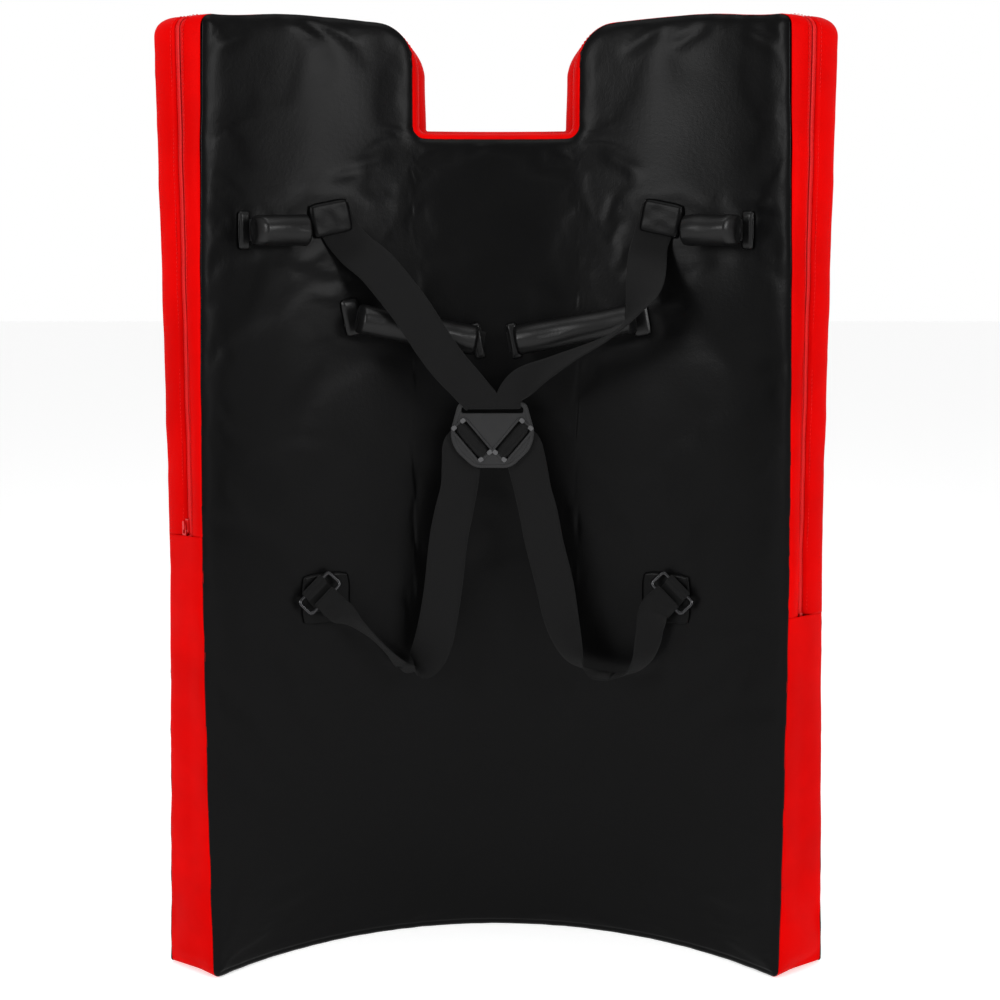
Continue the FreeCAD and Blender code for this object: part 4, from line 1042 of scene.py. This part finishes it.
def glide_axes(side):
    """A window's middle and its two directions in the plate's plane, as (x, z)."""
    along = np.array([-side * math.cos(GLIDE_TILT), -math.sin(GLIDE_TILT)])
    away = np.array([side * math.sin(GLIDE_TILT), -math.cos(GLIDE_TILT)])
    return YOKE[[0, 2]] + np.array([side * 20, -4.5]) * MM, along, away


def build_yoke():
    """The plate where the straps meet: a slot on top and two tilted tri-glides with raised rims, and pale
    lumps at the windows' corners that carry painted highlights.
    """
    corners = np.array([(-33, 33), (33, 33), (41.5, 2), (37, -14), (18, -32), (-18, -32), (-37, -14),
                        (-41.5, 2)])
    centre = YOKE[[0, 2]]
    edge = rounded_outline(corners * MM + centre, 7 * MM)
    slot = rounded_outline(rectangle(centre + np.array([0, 25.6]) * MM, np.array([1, 0]), np.array([0, 1]),
                                     60 * MM, 7.6 * MM), 2 * MM)
    holes = [slot]
    parts = []
    for side in (-1, 1):
        middle, along, away = glide_axes(side)
        for shift in (-4.75, 4.75):
            window = rectangle(middle + away * shift * MM, along, away, 38.6 * MM, 5.5 * MM)
            holes.append(rounded_outline(window, 1.5 * MM))
        rim = [rounded_outline(rectangle(middle, along, away, 44 * MM, 20 * MM), 4 * MM),
               rounded_outline(rectangle(middle, along, away, 39.5 * MM, 15.6 * MM), 2 * MM)]
        parts.append(flat_plate("yoke_rim_%d" % (side + 1), rim, 1.0 * MM, 0.5 * MM, PLASTIC,
                                YOKE_Y - 2.3 * MM))
        # Four pale lumps at each window's corners: their lighter plastic is a painted highlight for light
        # caught on the rim's corners.
        for a in (-1, 1):
            for b in (-1, 1):
                spot = middle + along * a * 20.2 * MM + away * b * 5.6 * MM
                lump = rounded_outline(rectangle(spot, along, away, 4.4 * MM, 5.2 * MM), 1.6 * MM)
                parts.append(flat_plate("yoke_painted_highlight_lump", [lump], 1.2 * MM, 0.6 * MM, PAINTED_HIGHLIGHT_PLASTIC,
                                        YOKE_Y - 2.9 * MM))
    plate = flat_plate("yoke_base", [edge] + holes, 2 * MM, 0.7 * MM, PLASTIC, YOKE_Y)
    ridge = [edge * 0.97 + centre * 0.03, edge * 0.90 + centre * 0.10]
    parts.append(flat_plate("yoke_ridge", ridge, 0.7 * MM, 0.4 * MM, PLASTIC, YOKE_Y - 2.0 * MM))
    yoke = joined("yoke", [plate] + parts)
    for polygon in yoke.data.polygons:
        polygon.use_smooth = False
    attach(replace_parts(yoke, "yoke_plate"), "harness")


# ---------------------------------------------------------------- harness straps

SLOT_Z = 551
LEFT_RUN = [
    (-158, 743, 3.2, (1, 0, 0.2)), (-154, 729, 3.2, (0.96, 0, 0.3)), (-146, 715, 4.2, (0.85, 0, 0.5)),
    (-134, 702, 11, (0.74, 0, 0.67)), (-116, 688, 27, (0.7, 0, 0.72)), (-98, 668, 43, (0.7, 0, 0.72)),
    (-80, 645, 54, (0.75, 0, 0.65)), (-60, 614, 56, (0.8, 0, 0.6)), (-45, 593, 55, (0.88, 0, 0.48)),
    (-31, 577, YOKE_OFF + 6.5, (0.95, 0, 0.3)), (-19, 563, YOKE_OFF + 4.6, (1, 0, 0.1)),
]
RIGHT_RUN = [
    (15, 566, YOKE_OFF + 4.4, (1, 0, -0.2)), (23, 574, YOKE_OFF + 5.5, (0.9, 0.25, -0.4)),
    (34, 581, 54, (0.6, 0.6, -0.45)), (50, 590, 58.5, (0.35, 0.85, -0.35)),
    (75, 604, 66, (0.18, 1, -0.22)), (105, 621, 69, (0.16, 1, -0.1)), (126, 639, 64, (0.45, 0.9, 0.05)),
    (138, 660, 48, (0.85, 0.45, -0.1)), (143, 682, 28, (0.97, 0, -0.1)), (146, 701, 12, (1, 0, -0.1)),
    (150, 714, 4.4, (1, 0, -0.1)), (154, 728, 3.2, (1, 0, -0.15)), (158, 743, 3.2, (1, 0, -0.15)),
]
SLOT_PLACES = {-1: -14.5, 1: 11.5}
SLOT_WIDTHS = {-1: 34 * MM, 1: 25 * MM}
RING_WIDTHS = {-1: 25 * MM, 1: 29 * MM}


def slot_run(across):
    """Over the yoke plate's top bar from the front: into the slot and up behind the bar."""
    route = ((6.5, 3.8), (1.2, 3.4), (-0.6, 0), (1.2, -3.4), (8, -3.6))
    return [(across, SLOT_Z + up, YOKE_OFF + off, (1, 0, 0)) for up, off in route]


# Each waist strap in two lengths: from the plate to its lowest fold, and on to the ring.
WAIST_RUNS = {
    -1: ([(-34, 497, 41, (0.75, 0, -0.5)), (-36, 473, 40, (0.95, -0.2, -0.2)), (-42, 445, 39, (1, 0, 0)),
          (-47, 419, 38, (1, 0, 0)), (-53, 366, 36, (1, 0, 0)), (-61, 322, 34, (1, 0.2, 0)),
          (-69, 300, 33, (0.9, 0.5, 0)), (-80, 287, 32, (0.6, 0.9, 0.2)), (-93, 292, 30, (0.3, 1, 0.2))],
         [(-93, 292, 30, (0.3, 1, 0.2)), (-107, 307, 28, (0.12, 1, 0.12)), (-123, 324, 26, (0.12, 1, 0.15)),
          (-139, 339, 23, (0.35, 0.9, 0.4))]),
    1: ([(30, 497, 41, (0.75, 0, 0.5)), (36, 470, 40, (0.95, 0.2, 0.2)), (42, 445, 39, (1, 0, 0)),
         (48, 415, 38, (1, 0, 0)), (58, 375, 36, (1, 0, 0)), (66, 335, 36, (1, 0.3, 0)),
         (77, 303, 36, (0.8, 0.7, 0)), (94, 287, 36, (0.35, 0.95, 0)), (115, 284, 34, (0, 1, 0.1))],
        [(115, 284, 34, (0, 1, 0.1)), (133, 290, 31, (-0.12, 1, 0.15)), (144, 304, 28, (-0.35, 0.95, 0.2)),
          (149, 321, 25, (-0.6, 0.75, 0.3)), (152, 337, 22, (-0.7, 0.5, 0.45))]),
}


def glide_run(side):
    """Through one slot of the tri-glide, over its bar, and back through the other slot."""
    middle, along, away = glide_axes(side)
    route = [(-9, 3.7), (-7.3, 3.3), (-4.75, 0), (-2.2, -3.3), (2.2, -3.3), (4.75, 0), (7.3, 3.3), (13, 3.6)]
    stations = []
    for q, y in route:
        place = middle + away * q * MM
        stations.append((np.array([place[0], YOKE_Y + y * MM, place[1]]),
                         np.array([-side * along[0], 0, -side * along[1]])))
    return stations


RING = {"across": 179 * MM, "height": 375 * MM, "lift": 7 * MM, "tilt": math.radians(41),
        "stand": math.radians(22), "bar": 42 * MM, "depth": 17 * MM, "wire": 2 * MM}


def ring_axes(side):
    """The ring's near bar: its middle, its direction, the ring's reach, and the way to the holder."""
    across = side * RING["across"]
    centre = rear_point(across, RING["height"], RING["lift"])
    out = rear_normal(across)
    sideways = np.array([math.cos(math.asin(across / REAR_RADIUS)), -across / REAR_RADIUS, 0])
    bar = unit(sideways * side * math.cos(RING["tilt"]) - np.array([0, 0, math.sin(RING["tilt"])]))
    pull = np.cross(bar, out)
    pull = -pull if pull[2] > 0 else pull
    reach = unit(pull * math.cos(RING["stand"]) + out * math.sin(RING["stand"]))
    return centre, bar, reach, out, unit(pull)


def ring_run(side):
    """Up to the ring's far bar, through the ring and a little way back under itself."""
    centre, bar, reach, out, pull = ring_axes(side)
    tip = centre + reach * RING["depth"]
    under = np.cross(reach, bar)
    under = -under if under @ out > 0 else under
    route = [(16, -3.2), (7, -3.2), (2, -3.4), (-2.4, -2.4), (-3.4, 0), (-2.4, 2.4), (2, 3.4), (12, 4.2)]
    return [(tip + reach * u * MM + under * w * MM, -bar) for u, w in route]


def build_straps():
    """The shoulder webbing in two ends and each waist strap in two lengths."""
    for side, tag in ((-1, "left"), (1, "right")):
        run = LEFT_RUN if side < 0 else RIGHT_RUN[::-1]
        bunched = SLOT_WIDTHS[side]
        sizes = [WEBBING_WIDTH] * (len(run) - 4) + [WEBBING_WIDTH * (1 - t) + bunched * t
                                                    for t in (0.15, 0.4, 0.7, 0.95)] + [bunched] * 5
        shoulder = ribbon("shoulder_webbing_" + tag, rear_stations(run + slot_run(SLOT_PLACES[side])),
                          WEBBING_WIDTH, WEBBING_SHEET, WEBBING, ripple=0.25 * MM, seed=4 + side,
                          widths_at=sizes)
        if side < 0:
            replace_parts(shoulder, "shoulder_strap")
        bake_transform(shoulder)
        upper, lower = WAIST_RUNS[side]
        hanging = ribbon("waist_webbing_" + tag, glide_run(side) + rear_stations(upper), WEBBING_WIDTH,
                         WEBBING_SHEET, WEBBING, ripple=0.25 * MM, seed=5 + side)
        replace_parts(hanging, "waist_strap_" + tag)
        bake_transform(hanging)
        bunched = RING_WIDTHS[side]
        sizes = [WEBBING_WIDTH + (bunched - WEBBING_WIDTH) * t for t in np.linspace(0, 1, len(lower))]
        hooked = ribbon("waist_webbing_end_" + tag, rear_stations(lower) + ring_run(side), WEBBING_WIDTH,
                        WEBBING_SHEET, WEBBING, ripple=0.2 * MM, seed=8 + side,
                        widths_at=sizes + [bunched] * 8)
        centre, bar, reach, out, pull = ring_axes(side)
        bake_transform(hooked)


def build_rings_and_anchors():
    """The rings, the webbing loops and patches that hold them, and the shoulder straps' patches."""
    for side, tag in ((-1, "left"), (1, "right")):
        centre, bar, reach, out, pull = ring_axes(side)
        corners = []
        for a, b in ((-1, 0), (1, 0), (1, 1), (-1, 1)):
            corners.append(centre + bar * a * RING["bar"] / 2 + reach * b * RING["depth"])
        path = rounded_outline(corners, 4 * MM, 6)
        plane = unit(np.cross(bar, reach))
        run = np.roll(path, -1, axis=0) - np.roll(path, 1, axis=0)
        run /= np.linalg.norm(run, axis=1)[:, None]
        inward = np.cross(plane, run)
        rings = []
        for turn in np.linspace(0, 2 * math.pi, 14, endpoint=False):
            rings.append(path + (inward * math.cos(turn) + plane * math.sin(turn)) * RING["wire"])
        ring = grid_object("ring_wire_" + tag, np.stack(rings, 1), STEEL, closed_rows=True,
                           closed_columns=True)
        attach(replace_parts(ring, "ring_" + tag), tag + "_ring")

        patch = sewn_patch("anchor_cover_" + tag, side * 169 * MM, 361 * MM, 50 * MM, 50 * MM, 1.0 * MM,
                           BLACK_COVER, puff=0.6 * MM, seed=70 + side)
        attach(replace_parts(patch, "anchor_patch_" + tag), "root")
        loop = []
        for u, w in ((24, -3.6), (14, -3.6), (6, -3.3), (2.5, -3.2), (-2.2, -2.2), (-3.3, 0), (-2.2, 2.2),
                     (0.5, 3.2), (4, 1.2), (8, -1.6), (14, -1.8), (23, -1.8)):
            loop.append((centre + pull * u * MM + out * w * MM, bar))
        band = ribbon("anchor_webbing_" + tag, loop, 26 * MM, 1.5 * MM, WEBBING, 6)
        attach(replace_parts(band, "anchor_loop_" + tag), "root")

        cover = sewn_patch("shoulder_cover_" + tag, side * 160 * MM, 733 * MM, 41 * MM, 32 * MM, 4.6 * MM,
                           BLACK_COVER, tilt=side * -0.2, puff=0.1 * MM, drape=2 * MM, seed=80 + side)
        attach(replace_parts(cover, "shoulder_patch_" + tag), "root")


def dress_cad_nodes():
    """The small hard parts keep their CAD shape and get a worked material."""
    for name in ("zip_slider", "zip_puller"):
        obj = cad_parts[name]
        obj.data.materials.clear()
        obj.data.materials.append(RED_METAL)


# ---------------------------------------------------------------- studio and camera

def lamp(name, place, aim, width, height, power):
    """A rectangular area light that points at aim."""
    light = bpy.data.lights.new(name, "AREA")
    light.shape = "RECTANGLE"
    light.size, light.size_y = width, height
    light.energy = power
    obj = bpy.data.objects.new(name, light)
    obj.location = place
    obj.rotation_euler = (Vector(aim) - Vector(place)).to_track_quat("-Z", "Y").to_euler()
    bpy.context.scene.collection.objects.link(obj)


def build_studio():
    """The camera, the pale floor, the surroundings and the lamps."""
    camera = bpy.data.cameras.new("camera")
    camera.lens = CAMERA_LENS
    camera.sensor_width = 36
    camera.shift_x, camera.shift_y = CAMERA_SHIFT
    holder = bpy.data.objects.new("camera", camera)
    holder.location = CAMERA_PLACE
    holder.rotation_euler = (math.radians(90 - CAMERA_TILT), 0, 0)
    bpy.context.scene.collection.objects.link(holder)
    bpy.context.scene.camera = holder

    paper, _, shader, _ = surface("studio_paper", (0.86, 0.86, 0.86), 0.9, 0.1)
    shader.inputs["Emission Color"].default_value = (1, 1, 1, 1)
    shader.inputs["Emission Strength"].default_value = FLOOR_GLOW
    bpy.ops.mesh.primitive_plane_add(size=30, location=(0, 0, 0))
    floor = bpy.context.object
    floor.name = "studio_floor"
    floor.data.materials.append(paper)

    bpy.context.scene.view_settings.view_transform = "Standard"
    world = bpy.data.worlds.new("studio")
    bpy.context.scene.world = world
    world.use_nodes = True
    tree = world.node_tree
    where = tree.nodes.new("ShaderNodeTexCoord")
    split = tree.nodes.new("ShaderNodeSeparateXYZ")
    wire(where, "Generated", split, "Vector")
    fade = node(tree, "ShaderNodeMapRange", From_Min=-0.25, From_Max=0.6, To_Min=WORLD_FRONT,
                To_Max=WORLD_BEHIND)
    fade.interpolation_type = "SMOOTHSTEP"
    wire(split, "Y", fade, "Value")
    background = tree.nodes["Background"]
    background.inputs["Color"].default_value = (1, 1, 1, 1)
    wire(fade, "Result", background, "Strength")
    lamp("key_left", (-1.5, -1.62, 1.25), (0.1, 0, 0.8), 0.55, 0.8, 26)
    lamp("key_right", (1.5, -1.62, 1.25), (-0.1, 0, 0.8), 0.55, 0.8, 26)
    lamp("top", (0.0, -0.5, 2.4), (0, 0, 0.6), 1.6, 0.8, 12)


build_studio()
build_panels()
build_gussets()
build_zip()
for row in GRIPS:
    for side in (-1, 1):
        build_grip(row, side)
build_yoke()
build_straps()
build_rings_and_anchors()
dress_cad_nodes()
